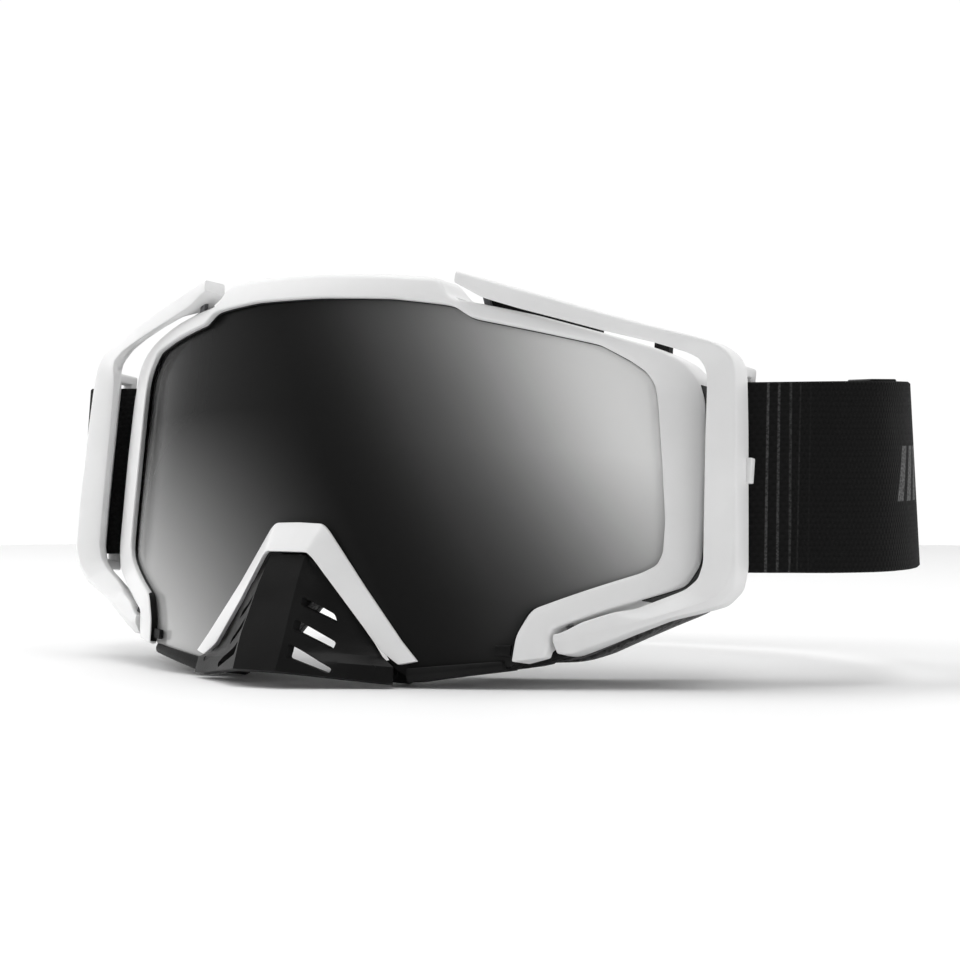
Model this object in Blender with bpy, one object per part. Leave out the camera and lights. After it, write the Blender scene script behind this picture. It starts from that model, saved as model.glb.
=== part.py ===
"""Motorcycle goggles: mirrored lens, white shell and outriggers, black frame, nose guard, foam and strap.

The face parts are drawn upright in millimetres: X to the wearer's left, Y back towards the face, Z up. An
empty then leans them back by LEAN. The strap is drawn level. Every front face follows one upright cylinder.
"""

import math

import bmesh
import bpy
from mathutils import Matrix, Vector

MM = 0.001
GAP = 0.3
LEAN = math.radians(8)
BASE_DROP = 36.24
BASE_BACK = 33.35

# The cylinder that the rim's front edge lies on.
BEND_RADIUS = 110
BEND_CENTRE_Y = 75.5
BOTTOM_TAPER = 0.004

# Lens opening, right half from the top centre down to the nose: (x, z, corner radius).
LENS_OPENING = [
    (0, 52.0, 0), (36.5, 49.6, 14), (66.5, 43.2, 14), (77.3, 37.0, 9), (80.4, 3.0, 60),
    (79.9, -8.6, 6), (57.2, -20.8, 5), (53.4, -26.6, 6), (53.2, -32.4, 4), (29.0, -36.2, 4),
    (8.2, -8.6, 4.5), (0, -7.6, 0),
]
LOWER_EDGE = -30
HALF_RING = 44
RING_CENTRE_Z = 18

# Outline that the face foam follows, rounder than the lens opening.
FOAM_OUTLINE = [
    (0, 52.0, 0), (42, 49.0, 30), (77.0, 38.0, 16), (80.6, 3.0, 60),
    (78.0, -14.0, 16), (55.0, -31.4, 14), (32.0, -34.0, 10), (9.4, -9.4, 8), (0, -8.4, 0),
]

LENS_DEPTH = 2.9
LENS_THICK = 1.2
LENS_HOLD = 1.5
RABBET = 2.4

FRAME_FRONT = LENS_DEPTH + LENS_THICK + GAP
FRAME_FLANGE = 3.0
FRAME_BACK = 22
FRAME_OUTSIDE = RABBET - GAP
FRAME_WALL = 2.6
FRAME_FLANGE_IN = 4

# Front shell, right half from the top centre to the hook: inner x, z, outer x, z, and how far the outer
# edge stands behind the cylinder (negative: in front of it).
SHELL_STATIONS = [
    (0, 52.0, 0, 58.2, 1.0),
    (20, 51.7, 20, 57.8, 1.0),
    (32, 50.7, 31.5, 56.2, 0.8),
    (35.6, 50.1, 34.2, 52.6, 0.4),
    (37.0, 49.4, 36.6, 51.6, 0.4),
    (39.8, 47.5, 41, 51.2, 0.3),
    (53, 45.4, 54, 49.0, 0),
    (66.5, 43.2, 66.5, 46.2, -0.6),
    (72.4, 40.0, 77.0, 43.7, -1.4),
    (75.6, 37.6, 82.0, 41.2, -2.4),
    (77.2, 34.6, 85.2, 37.2, -3.2),
    (77.9, 30.0, 86.6, 32.0, -3.8),
    (79.2, 17.0, 87.6, 18.0, -4.5),
    (80.4, 3.0, 88.0, 3.0, -4.7),
    (80.4, -4.4, 88.0, -6.4, -4.7),
    (79.6, -7.4, 85.6, -12.0, -3.6),
    (77.0, -9.6, 81.0, -14.4, -2.4),
    (67.0, -14.9, 70.5, -19.6, -1.0),
    (57.2, -20.2, 61.6, -24.4, -0.6),
    (54.4, -26.6, 61.4, -28.0, -0.4),
    (54.0, -32.2, 60.4, -31.2, 0),
]
SHELL_LIP = LENS_DEPTH - GAP
SHELL_DEPTH = 10
SHELL_STEP = 3.5

# Outrigger, right hand, from the upper tip round to the lower end: outer x, z, inner x, z, front y, depth,
# and how far the inner side slants away behind its front wall.
OUTRIGGER_STATIONS = [
    (37.6, 57.6, 37.4, 55.6, -31.0, 8.0, 0),
    (44.0, 56.4, 43.6, 52.4, -28.8, 8.0, 0),
    (52.0, 54.3, 51.6, 50.6, -25.4, 4.6, 1.0),
    (61.0, 52.0, 60.5, 48.5, -21.4, 4.2, 1.0),
    (70.0, 49.7, 69.5, 46.2, -17.2, 4.4, 1.0),
    (80.0, 47.4, 79.4, 44.0, -11.2, 5.0, 1.0),
    (88.0, 45.8, 86.4, 42.2, -6.2, 5.6, 1.0),
    (92.6, 44.6, 89.6, 41.0, -3.4, 6.0, 2.0),
    (95.6, 42.4, 90.9, 38.6, -1.6, 6.2, 3.0),
    (97.0, 39.2, 91.2, 36.0, -0.9, 6.4, 3.0),
    (98.2, 24.0, 91.2, 23.0, -0.5, 6.4, 3.0),
    (99.3, 6.0, 91.4, 6.0, 0, 6.4, 3.0),
    (100.0, -7.4, 91.4, -6.6, 0.6, 6.4, 3.0),
    (99.2, -12.4, 90.2, -10.4, 0.8, 6.2, 3.0),
    (96.0, -16.0, 87.4, -13.0, 0.2, 6.0, 3.0),
    (91.5, -17.8, 83.0, -15.2, -1.6, 5.4, 2.0),
    (84.6, -20.2, 77.4, -18.2, -4.8, 5.2, 1.0),
    (76.8, -24.0, 74.0, -19.4, -8.8, 6.0, 1.0),
    (70.0, -27.6, 68.0, -22.2, -12.6, 7.0, 0),
    (65.0, -30.0, 64.0, -25.2, -15.4, 8.0, 0),
    (62.9, -29.0, 62.8, -26.4, -16.2, 8.0, 0),
]
PIVOT_UPPER = Vector((42.0, -24.6, 54.0))
PIVOT_LOWER = Vector((65.6, -11.6, -27.0))
PIN_RADIUS = 0.9
PIN_HOLE_RADIUS = PIN_RADIUS + GAP
PIN_ABOVE = 1.0
PIN_LENGTH = 5.0
STRAP_BAR = Vector((94.5, 11.0, 14.9))
OUTRIGGER_WALL = 2.4
OUTRIGGER_FLARE = 0.4
BAR_HALF_X = 1.7
BAR_HALF_Y = 1.2
BAR_HALF_Z = 25.8
WEB_THICK = 2.6
WEB_FRONT = 3.0

# Nose guard, right half from the top down: x, y, z of the ridge, then of the guard's edge.
GUARD_ROWS = [
    (5.0, -37.4, -10.7, 5.6, -37.0, -10.9),
    (5.6, -40.6, -18.0, 12.4, -34.6, -18.0),
    (6.0, -43.0, -25.0, 17.9, -32.0, -25.0),
    (6.4, -44.8, -30.4, 22.2, -30.3, -30.4),
    (6.4, -45.6, -33.4, 24.8, -30.2, -33.6),
    (6.3, -46.2, -35.8, 29.0, -31.6, -35.9),
    (6.2, -47.0, -38.9, 29.4, -32.2, -39.8),
]
GUARD_THICK = 1.8
GUARD_BELLY = 0.6
GUARD_CUT_FRONT = -52
GUARD_CUT_BACK = -24
# Corners of the wedge-shaped slots in the guard's right side, seen from the front: x, z.
GUARD_SLOTS = {
    "top": [(7.2, -20.8), (13.6, -24.3), (14.6, -26.4), (7.4, -22.9)],
    "middle": [(7.3, -26.2), (15.4, -31.0), (15.3, -32.9), (7.4, -28.8)],
    "low": [(7.5, -32.2), (16.9, -37.4), (16.4, -38.6), (7.6, -35.4)],
}
PEGS = [(0, -11.8), (24.6, -36.6), (-24.6, -36.6)]
PEG_RADIUS = 1.0
PEG_LENGTH = 13.5
SOCKET_RADIUS = 2.6
SOCKET_LENGTH = 8
SOCKET_INSET = 0.8
SOCKET_CLEAR = 1
HOLE_PAST = 2

# Nose trim, right half from the top centre to the foot: outer x, y, z and inner x, y, z.
TRIM_STATIONS = [
    (0, -34.4, -2.6, 0, -38.7, -10.1),
    (6.8, -34.2, -2.8, 6.0, -38.5, -10.1),
    (8.4, -33.9, -4.2, 7.4, -37.8, -11.4),
    (18.2, -31.2, -17.0, 15.6, -34.2, -21.6),
    (28.6, -28.9, -29.6, 24.6, -30.9, -32.4),
    (32.6, -27.8, -33.9, 28.6, -29.9, -35.0),
]
TRIM_THICK_OUTER = 0.9
TRIM_THICK_INNER = 1.6

LIP_HALF_SPAN = (30.6, 51.4)
LIP_HEIGHT = 3.4
LIP_FRONT = 1.0
LIP_BACK = 8

# Face foam layers: name, front and back depth, how far each edge stands outside the lens opening.
FOAM_LAYERS = [
    ("foam_base", 22.3, 29.7, 2.0, -8.5),
    ("foam_middle", 30.0, 35.7, 2.6, -9.5),
    ("face_fleece", 36.0, 38.6, 2.2, -9.0),
]

# Vents cut through the inner frame's wall: middle x and width, and the heights that their cutters span.
TOP_VENTS = [(-48, 13), (-29, 15), (-9.6, 15), (9.6, 15), (29, 15), (48, 13)]
LOWER_VENTS = [(-43.5, 13), (43.5, 13)]
TOP_VENT_SPAN = (40, 60)
LOWER_VENT_SPAN = (-45, -22)
VENT_DEPTH = 14.2
VENT_LENGTH_Y = 7
VENT_FOAM_THICK = 2.6
VENT_FOAM_REACH = 1
TOP_FOAM_END = 57
LOWER_FOAM_ENDS = (35, 49.6)

# Strap, in the level frame: route of the outer band from the right-hand bar to the back centre.
STRAP_WIDTH = 45
STRAP_THICK = 1.3
STRAP_RISE = 0.004
STRAP_ROUTE = [
    (96.1, 10.4), (105.8, 16.7), (115.6, 23.1), (121.6, 33.9), (120.0, 51.4), (112.0, 69.4),
    (101.0, 82.5), (85.5, 94.25), (70.0, 106.0), (52.0, 113.0), (27.0, 117.0), (0, 118.0),
]
ROUTE_STEPS = 5
STRAP_END_LENGTH = 14
TURN_RADIUS = 3.0
TAIL_INSET = 1.6
LEAN_FADE = 45

# Strap slider: place along the straight stretch of band, and its sizes along and across the band.
STRETCH_FROM = 6
STRETCH_TO = 8
SLIDER_ALONG_STRETCH = 9.5
SLIDER_HALF_LENGTH = 6.6
SLIDER_BAR = 3.2
SLIDER_OUTER = (0.95, 2.9)
SLIDER_INNER = (-4.55, -2.55)
SLIDER_LOOP_RUN = 9
SLIDER_LOOP_SET = 0.6
RAIL_CLEAR = 0.6
RAIL_HEIGHT = 1.4
RAIL_BITE = 1
LOOP_INSET = 0.4
GRIP_HEIGHTS = {"upper": 14, "middle": 0, "lower": -14}
GRIP_HEIGHT = 1.6
GRIP_THICK = 0.5
GRIP_FROM = 8.6

# Faces of a box whose corners run fastest in x, then y, then z.
BOX_FACES = [(0, 1, 3, 2), (4, 5, 7, 6), (0, 1, 5, 4), (2, 3, 7, 6), (0, 2, 6, 4), (1, 3, 7, 5)]

WHITE = ("white_plastic", (0.86, 0.86, 0.86), 0.3, 0.0)
BLACK = ("black_plastic", (0.02, 0.02, 0.02), 0.5, 0.0)
MIRROR = ("mirror_lens", (0.35, 0.35, 0.36), 0.08, 1.0)
STEEL = ("pin_steel", (0.55, 0.55, 0.56), 0.3, 1.0)
FOAM = ("grey_foam", (0.09, 0.09, 0.095), 0.95, 0.0)
FLEECE = ("black_fleece", (0.03, 0.03, 0.03), 1.0, 0.0)
WEBBING = ("black_webbing", (0.015, 0.015, 0.016), 0.85, 0.0)
SILICONE = ("grey_silicone", (0.25, 0.25, 0.26), 0.5, 0.0)


# ---------------------------------------------------------------- scene helpers

def clear_scene():
    for obj in list(bpy.data.objects):
        bpy.data.objects.remove(obj, do_unlink=True)


def material(spec, node):
    name, colour, roughness, metallic = spec
    made = bpy.data.materials.new(f"{node}_{name}")
    made.use_nodes = True
    shader = made.node_tree.nodes["Principled BSDF"]
    shader.inputs["Base Color"].default_value = (*colour, 1)
    shader.inputs["Roughness"].default_value = roughness
    shader.inputs["Metallic"].default_value = metallic
    made.diffuse_color = (*colour, 1)
    return made


def empty(name, parent=None, location=(0, 0, 0), lean=0.0):
    made = bpy.data.objects.new(name, None)
    bpy.context.scene.collection.objects.link(made)
    made.parent = parent
    made.location = Vector(location) * MM
    made.rotation_euler = (lean, 0, 0)
    return made


def add_object(name, points, faces, parent, spec=None, origin=(0, 0, 0)):
    """An object from points in millimetres, with its origin at a point of the parent's frame."""
    origin = Vector(origin)
    mesh = bpy.data.meshes.new(name)
    mesh.from_pydata([(Vector(p) - origin) * MM for p in points], [], faces)
    work = bmesh.new()
    work.from_mesh(mesh)
    bmesh.ops.recalc_face_normals(work, faces=work.faces)
    work.to_mesh(mesh)
    work.free()
    made = bpy.data.objects.new(name, mesh)
    bpy.context.scene.collection.objects.link(made)
    made.parent = parent
    made.location = origin * MM
    if spec:
        mesh.materials.append(material(spec, name))
        mesh.shade_smooth()
        mesh.set_sharp_from_angle(angle=math.radians(30))
    return made


def helper(made):
    made.hide_render = True
    made.display_type = "WIRE"
    return made


def boolean(target, other, operation):
    modifier = target.modifiers.new(other.name, "BOOLEAN")
    modifier.operation = operation
    modifier.object = helper(other)


def loft(name, sections, parent, spec=None, ring=False, origin=(0, 0, 0)):
    """A solid through sections of equal point count. A ring joins its last section to its first."""
    count = len(sections[0])
    points = [p for section in sections for p in section]
    faces = []
    for i in range(len(sections) if ring else len(sections) - 1):
        a = i * count
        b = (i + 1) % len(sections) * count
        for k in range(count):
            n = (k + 1) % count
            faces.append((a + k, a + n, b + n, b + k))
    if not ring:
        last = len(points) - count
        faces.append(tuple(range(count - 1, -1, -1)))
        faces.append(tuple(range(last, last + count)))
    return add_object(name, points, faces, parent, spec, origin)


def box(name, low, high, parent):
    """A box between two corners."""
    xs, ys, zs = zip(low, high)
    corners = [Vector((x, y, z)) for z in zs for y in ys for x in xs]
    return add_object(name, corners, BOX_FACES, parent)


def rod(name, start, end, radius, parent, spec=None, sides=16):
    start = Vector(start)
    axis = (Vector(end) - start).normalized()
    across = axis.orthogonal().normalized()
    up = axis.cross(across)
    sections = []
    for centre in (start, Vector(end)):
        turns = [2 * math.pi * k / sides for k in range(sides)]
        sections.append([centre + radius * (math.cos(t) * across + math.sin(t) * up) for t in turns])
    return loft(name, sections, parent, spec)


# ---------------------------------------------------------------- outlines

def bend_y(x, depth=0.0):
    """How far back the bent front surface is at x, plus a depth behind it."""
    return BEND_CENTRE_Y - math.sqrt(BEND_RADIUS ** 2 - x * x) + depth


def on_face(x, z, depth):
    """The point seen at x, z from the front, at a depth behind the cylinder. The underside rises behind."""
    rise = BOTTOM_TAPER * max(0.0, depth - FRAME_FRONT)
    height = z if z > 0 else z * (1 - rise)
    return Vector((x, bend_y(x, depth), height))


def rounded(points, corner_steps=5):
    """An open outline of (x, z, radius) points with its inner corners rounded."""
    made = [Vector(points[0][:2])]
    for before, (x, z, radius), after in zip(points, points[1:], points[2:]):
        corner = Vector((x, z))
        back = Vector(before[:2]) - corner
        ahead = Vector(after[:2]) - corner
        turn = math.pi - back.angle(ahead)
        reach = min(radius * math.tan(turn / 2), 0.45 * back.length, 0.45 * ahead.length)
        start = corner + back.normalized() * reach
        end = corner + ahead.normalized() * reach
        for k in range(corner_steps + 1):
            t = k / corner_steps
            made.append(start * (1 - t) ** 2 + corner * 2 * t * (1 - t) + end * t * t)
    made.append(Vector(points[-1][:2]))
    return made


def spaced(points, count):
    """The same line with points at even steps, one more than count."""
    lengths = [0.0]
    for a, b in zip(points, points[1:]):
        lengths.append(lengths[-1] + (b - a).length)
    made = []
    k = 0
    for i in range(count + 1):
        target = lengths[-1] * i / count
        while k < len(points) - 2 and lengths[k + 1] < target:
            k += 1
        part = (target - lengths[k]) / (lengths[k + 1] - lengths[k])
        made.append(points[k].lerp(points[k + 1], part))
    return made


def mirrored(half):
    """A closed, symmetric outline from its right half, which starts and ends on the centre line."""
    left = [Vector((-p.x, p.y)) for p in half[-2:0:-1]]
    return half + left


def offset(outline, distance):
    """The closed outline moved outwards. It runs clockwise, seen from the front."""
    made = []
    for i, point in enumerate(outline):
        along = outline[(i + 1) % len(outline)] - outline[i - 1]
        outward = Vector((-along.y, along.x)).normalized()
        made.append(point + outward * distance)
    return made


def opening(steps=HALF_RING):
    return mirrored(spaced(rounded(LENS_OPENING), steps))


def face_ring(name, outline, profile, parent, spec):
    """A ring along a closed outline. The profile gives (offset, depth) pairs round its section."""
    loops = [offset(outline, distance) for distance, depth in profile]
    sections = []
    for i in range(len(outline)):
        corners = zip(loops, profile)
        sections.append([on_face(loop[i].x, loop[i].y, depth) for loop, (_, depth) in corners])
    return loft(name, sections, parent, spec, ring=True)


def face_strip(name, outline, profile, parent, spec=None):
    """An open bar along part of the outline, with its own section of (offset, depth) pairs."""
    sections = []
    for i, point in enumerate(outline):
        along = outline[min(i + 1, len(outline) - 1)] - outline[max(i - 1, 0)]
        outward = Vector((-along.y, along.x)).normalized()
        section = []
        for distance, depth in profile:
            moved = point + outward * distance
            section.append(on_face(moved.x, moved.y, depth))
        sections.append(section)
    return loft(name, sections, parent, spec)


def refined(stations, step):
    """Stations with straight runs of numbers between them, no longer than a step in x and z."""
    made = []
    for a, b in zip(stations, stations[1:]):
        pieces = max(1, math.ceil(math.hypot(b[0] - a[0], b[1] - a[1]) / step))
        for k in range(pieces):
            t = k / pieces
            made.append([p + (q - p) * t for p, q in zip(a, b)])
    made.append(list(stations[-1]))
    return made


# ---------------------------------------------------------------- face parts

def make_lens(parent):
    """A bent plate made of rings that shrink towards its middle, front and back."""
    outline = offset(opening(), LENS_HOLD)
    centre = Vector((0, RING_CENTRE_Z))
    points = []
    shares = (0.15, 0.35, 0.55, 0.72, 0.86, 0.95, 1.0)
    for depth, order in ((LENS_DEPTH, shares), (LENS_DEPTH + LENS_THICK, shares[::-1])):
        for share in order:
            for corner in outline:
                spot = centre.lerp(corner, share)
                points.append(Vector((spot.x, bend_y(spot.x, depth), spot.y)))
    count = len(outline)
    faces = [tuple(range(count))]
    for ring in range(2 * len(shares) - 1):
        for k in range(count):
            n = (k + 1) % count
            a = ring * count
            b = a + count
            faces.append((a + k, a + n, b + n, b + k))
    faces.append(tuple(range(len(points) - count, len(points))))
    return add_object("lens", points, faces, parent, MIRROR)


def make_inner_frame(parent):
    outside = FRAME_OUTSIDE
    inside = outside - FRAME_WALL
    flange = FRAME_FRONT + FRAME_FLANGE
    profile = [
        (-FRAME_FLANGE_IN, FRAME_FRONT), (outside, FRAME_FRONT), (outside, FRAME_BACK),
        (inside, FRAME_BACK), (inside, flange), (-FRAME_FLANGE_IN, flange),
    ]
    frame = face_ring("inner_frame", opening(), profile, parent, BLACK)
    for side in (1, -1):
        boolean(frame, make_lower_lip(side, parent), "UNION")
    for vents, (low_z, high_z) in ((TOP_VENTS, TOP_VENT_SPAN), (LOWER_VENTS, LOWER_VENT_SPAN)):
        for x, width in vents:
            middle = bend_y(x, VENT_DEPTH)
            low = (x - width / 2, middle - VENT_LENGTH_Y / 2, low_z)
            high = (x + width / 2, middle + VENT_LENGTH_Y / 2, high_z)
            boolean(frame, box(f"vent_cutter_{x:+.0f}_{width}", low, high, parent), "DIFFERENCE")
    for x, z in PEGS:
        front = bend_y(x, FRAME_FRONT) + SOCKET_INSET
        back = front + SOCKET_LENGTH
        socket = rod(f"socket_{x:+.0f}", (x, front, z), (x, back, z), SOCKET_RADIUS, parent)
        boolean(frame, socket, "UNION")
        ends = ((x, front - HOLE_PAST, z), (x, back + HOLE_PAST, z))
        boolean(frame, rod(f"peg_hole_{x:+.0f}", *ends, PEG_RADIUS + GAP, parent), "DIFFERENCE")
    return frame


def make_lower_lip(side, parent):
    """The ledge that holds the lens's lower edge, from the nose guard out to the shell's hook."""
    near, far = LIP_HALF_SPAN
    half = spaced(rounded(LENS_OPENING), 4 * HALF_RING)
    base = spaced([p for p in half if near < p.x < far and p.y < LOWER_EDGE], 8)
    if side < 0:
        base = [Vector((-p.x, p.y)) for p in reversed(base)]
    under = LENS_HOLD + GAP
    profile = [
        (0, LIP_FRONT), (LIP_HEIGHT, LIP_FRONT), (LIP_HEIGHT, LIP_BACK),
        (under, LIP_BACK), (under, SHELL_LIP), (0, SHELL_LIP),
    ]
    return face_strip(f"lower_lip_{side:+d}", base, profile, parent)


def make_front_shell(parent):
    """White rim: a lip over the lens's edge and a wall behind it, ending in a hook on each side."""
    right = refined(SHELL_STATIONS, SHELL_STEP)
    left = [[-s[0], s[1], -s[2], s[3], s[4]] for s in right[:0:-1]]
    stations = left + right
    rabbet = offset(opening(4 * HALF_RING), RABBET)
    sections = []
    for xi, zi, xo, zo, stand in stations:
        inner = Vector((xi, zi))
        xr, zr = min(rabbet, key=lambda p: (p - inner).length)
        back = bend_y(xo, stand) + SHELL_DEPTH
        sections.append([
            (xi, bend_y(xi), zi), (xo, bend_y(xo, stand), zo), (xo, back, zo),
            (xr, bend_y(xr, SHELL_DEPTH), zr), (xr, bend_y(xr, SHELL_LIP), zr),
            (xi, bend_y(xi, SHELL_LIP), zi),
        ])
    shell = loft("front_shell", sections, parent, WHITE)
    for side, hand in ((1, "right"), (-1, "left")):
        for level, pin in pin_ends(side).items():
            hole = rod(f"shell_hole_{level}_{hand}", *pin, PIN_HOLE_RADIUS, parent)
            boolean(shell, hole, "DIFFERENCE")
    return shell


def pin_ends(side):
    """Both ends of the upper and the lower pin, which lie on the outrigger's one axis."""
    upper = PIVOT_UPPER
    lower = PIVOT_LOWER
    down = (lower - upper).normalized()
    made = {
        "upper": (upper - down * PIN_ABOVE, upper + down * (PIN_LENGTH - PIN_ABOVE)),
        "lower": (lower + down * PIN_ABOVE, lower - down * (PIN_LENGTH - PIN_ABOVE)),
    }
    return {level: [Vector((side * p.x, p.y, p.z)) for p in ends] for level, ends in made.items()}


def make_pivot_pins(parent):
    for side, hand in ((1, "right"), (-1, "left")):
        for level, ends in pin_ends(side).items():
            inset = (ends[1] - ends[0]).normalized() * GAP
            rod(f"pivot_pin_{level}_{hand}", ends[0] + inset, ends[1] - inset, PIN_RADIUS, parent, STEEL)


def make_outrigger(side, hand, parent):
    """C-shaped arm with the bar for the strap behind its upright."""
    pivot = Vector((side * PIVOT_UPPER.x, PIVOT_UPPER.y, PIVOT_UPPER.z))
    sections = []
    for xo, zo, xi, zi, y, depth, inset in OUTRIGGER_STATIONS:
        share = inset / math.hypot(xo - xi, zo - zi)
        back_inner = (xi + (xo - xi) * share, y + depth, zi + (zo - zi) * share)
        back_outer = (xo + OUTRIGGER_FLARE, y + depth, zo)
        corners = [(xo, y, zo), back_outer, back_inner, (xi, y + OUTRIGGER_WALL, zi), (xi, y, zi)]
        sections.append([(side * cx, cy, cz) for cx, cy, cz in corners])
    arm = loft(f"outrigger_{hand}", sections, parent, WHITE, origin=pivot)
    centre = Vector((side * STRAP_BAR.x, STRAP_BAR.y, STRAP_BAR.z))
    half = Vector((BAR_HALF_X, BAR_HALF_Y, BAR_HALF_Z))
    bar = box(f"strap_bar_{hand}", centre - half, centre + half, parent)
    boolean(arm, bar, "UNION")
    for level in (1, -1):
        top = centre.z + level * BAR_HALF_Z
        low_z = min(top, top - level * WEB_THICK)
        low = Vector((centre.x - BAR_HALF_X, WEB_FRONT, low_z))
        high = Vector((centre.x + BAR_HALF_X, centre.y + BAR_HALF_Y, low.z + WEB_THICK))
        boolean(arm, box(f"web_{level:+d}_{hand}", low, high, parent), "UNION")
    for level, ends in pin_ends(side).items():
        boolean(arm, rod(f"arm_hole_{level}_{hand}", *ends, PIN_HOLE_RADIUS, parent), "DIFFERENCE")
    return arm


def make_nose_guard(parent):
    """Folded plate with a raised ridge, three slots a side and three pegs behind."""
    points = []
    for *ridge, edge_x, edge_y, edge_z in GUARD_ROWS:
        ridge = Vector(ridge)
        edge = Vector((edge_x, edge_y, edge_z))
        middle = ridge.lerp(edge, 0.5) + Vector((0, GUARD_BELLY, 0))
        row = [ridge, middle, edge]
        points += [(-p.x, p.y, p.z) for p in reversed(row)] + row
    columns = 6
    faces = []
    for r in range(len(GUARD_ROWS) - 1):
        for c in range(columns - 1):
            corner = r * columns + c
            faces.append((corner, corner + columns, corner + columns + 1, corner + 1))
    guard = add_object("nose_guard", points, faces, parent, BLACK)
    skin = guard.modifiers.new("thickness", "SOLIDIFY")
    skin.thickness = GUARD_THICK * MM
    skin.offset = -1
    skin.use_even_offset = True
    for side in (1, -1):
        for height, corners in GUARD_SLOTS.items():
            ends = []
            for y in (GUARD_CUT_FRONT, GUARD_CUT_BACK):
                ends.append([(side * x, y, z) for x, z in corners])
            boolean(guard, loft(f"slot_cutter_{height}_{side:+d}", ends, parent), "DIFFERENCE")
    for x, z in PEGS:
        back = bend_y(x, FRAME_FRONT) + SOCKET_LENGTH - SOCKET_CLEAR
        peg = rod(f"peg_{x:+.0f}", (x, back - PEG_LENGTH, z), (x, back, z), PEG_RADIUS, parent)
        boolean(guard, peg, "UNION")
    return guard


def make_nose_trim(parent):
    half = refined([(s[0], s[2], *s) for s in TRIM_STATIONS], SHELL_STEP)
    right = [s[2:] for s in half]
    left = [(-s[0], s[1], s[2], -s[3], s[4], s[5]) for s in right[:0:-1]]
    sections = []
    for xo, yo, zo, xi, yi, zi in left + right:
        back_outer = (xo, yo + TRIM_THICK_OUTER, zo)
        back_inner = (xi, yi + TRIM_THICK_INNER, zi)
        sections.append([(xo, yo, zo), (xi, yi, zi), back_inner, back_outer])
    return loft("nose_trim", sections, parent, WHITE)


def make_foam(parent):
    outline = mirrored(spaced(rounded(FOAM_OUTLINE), HALF_RING))
    for name, front, back, outside, inside in FOAM_LAYERS:
        spec = FLEECE if name == "face_fleece" else FOAM
        profile = [(inside, front), (outside, front), (outside, back), (inside, back)]
        face_ring(name, outline, profile, parent, spec)


def make_vent_foam(parent):
    """Strips of open foam against the inside of the frame's wall, behind the vents."""
    outside = FRAME_OUTSIDE - FRAME_WALL - GAP
    front = VENT_DEPTH - VENT_LENGTH_Y / 2 - VENT_FOAM_REACH
    back = VENT_DEPTH + VENT_LENGTH_Y / 2 + VENT_FOAM_REACH
    inside = outside - VENT_FOAM_THICK
    profile = [(inside, front), (outside, front), (outside, back), (inside, back)]
    half = spaced(rounded(LENS_OPENING), 4 * HALF_RING)
    top_right = [p for p in half if p.x < TOP_FOAM_END and p.y > 0]
    top = [Vector((-p.x, p.y)) for p in top_right[:0:-1]] + top_right
    face_strip("vent_foam_top", spaced(top, 24), profile, parent, FOAM)
    near, far = LOWER_FOAM_ENDS
    lower = spaced([p for p in half if near < p.x < far and p.y < LOWER_EDGE], 6)
    face_strip("vent_foam_lower_right", lower, profile, parent, FOAM)
    other = [Vector((-p.x, p.y)) for p in reversed(lower)]
    face_strip("vent_foam_lower_left", other, profile, parent, FOAM)


# ---------------------------------------------------------------- strap

def smooth_route(points):
    """A smooth line through the points, in even parts between each two, which runs on past the centre."""
    points = points + [Vector((-points[-2].x, points[-2].y))]
    made = []
    for i in range(len(points) - 2):
        a = points[max(i - 1, 0)]
        b = points[i]
        c = points[i + 1]
        d = points[i + 2]
        for k in range(ROUTE_STEPS):
            t = k / ROUTE_STEPS
            square = 2 * a - 5 * b + 4 * c - d
            cube = 3 * b - a - 3 * c + d
            made.append(0.5 * (2 * b + (c - a) * t + square * t ** 2 + cube * t ** 3))
    made.append(points[-2])
    return made


def strap_line():
    """The outer band's centre line, right half, with the sliders' stretch kept straight."""
    points = [Vector(p) for p in STRAP_ROUTE]
    made = smooth_route(points)
    start = points[STRETCH_FROM]
    along = (points[STRETCH_TO] - start).normalized()
    for i in range(STRETCH_FROM * ROUTE_STEPS, STRETCH_TO * ROUTE_STEPS + 1):
        made[i] = start + along * (made[i] - start).dot(along)
    return made


def route_lengths(line):
    made = [0.0]
    for a, b in zip(line, line[1:]):
        made.append(made[-1] + (b - a).length)
    return made


def band_section(point, normal, length, side, low, high, shift=0.0, thick=STRAP_THICK):
    """Corners of the band's section. It leans with the bar it wraps, and stands upright further on."""
    middle = Vector((0, 0, strap_middle(length)))
    lean = LEAN * max(0.0, 1 - length / LEAN_FADE)
    up = Vector((0, math.sin(lean), math.cos(lean)))
    corners = []
    for height, across in ((low, -1), (low, 1), (high, 1), (high, -1)):
        flat = point + normal * (shift + across * thick / 2)
        corners.append(Vector((flat.x, flat.y, 0)) + middle + up * height)
    return [Vector((side * c.x, c.y, c.z)) for c in corners]


def strap_middle(length):
    """Height of the band's middle at a length along it."""
    return leaned(STRAP_BAR).z + STRAP_RISE * length


def leaned(point):
    """A point of the upright face frame, in the level frame."""
    return Matrix.Rotation(-LEAN, 3, "X") @ point


def outward_normals(line):
    made = []
    for i in range(len(line)):
        along = line[min(i + 1, len(line) - 1)] - line[max(i - 1, 0)]
        made.append(Vector((along.y, -along.x)).normalized())
    made[-1] = Vector((0, 1))
    return made


def run(line, lengths, start, end):
    """The part of a line between two lengths, with its own end points, as (point, length) pairs."""
    made = [(at_length(line, lengths, start), start)]
    made += [(p, s) for p, s in zip(line, lengths) if start + 0.5 < s < end - 0.5]
    made.append((at_length(line, lengths, end), end))
    return made


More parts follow.
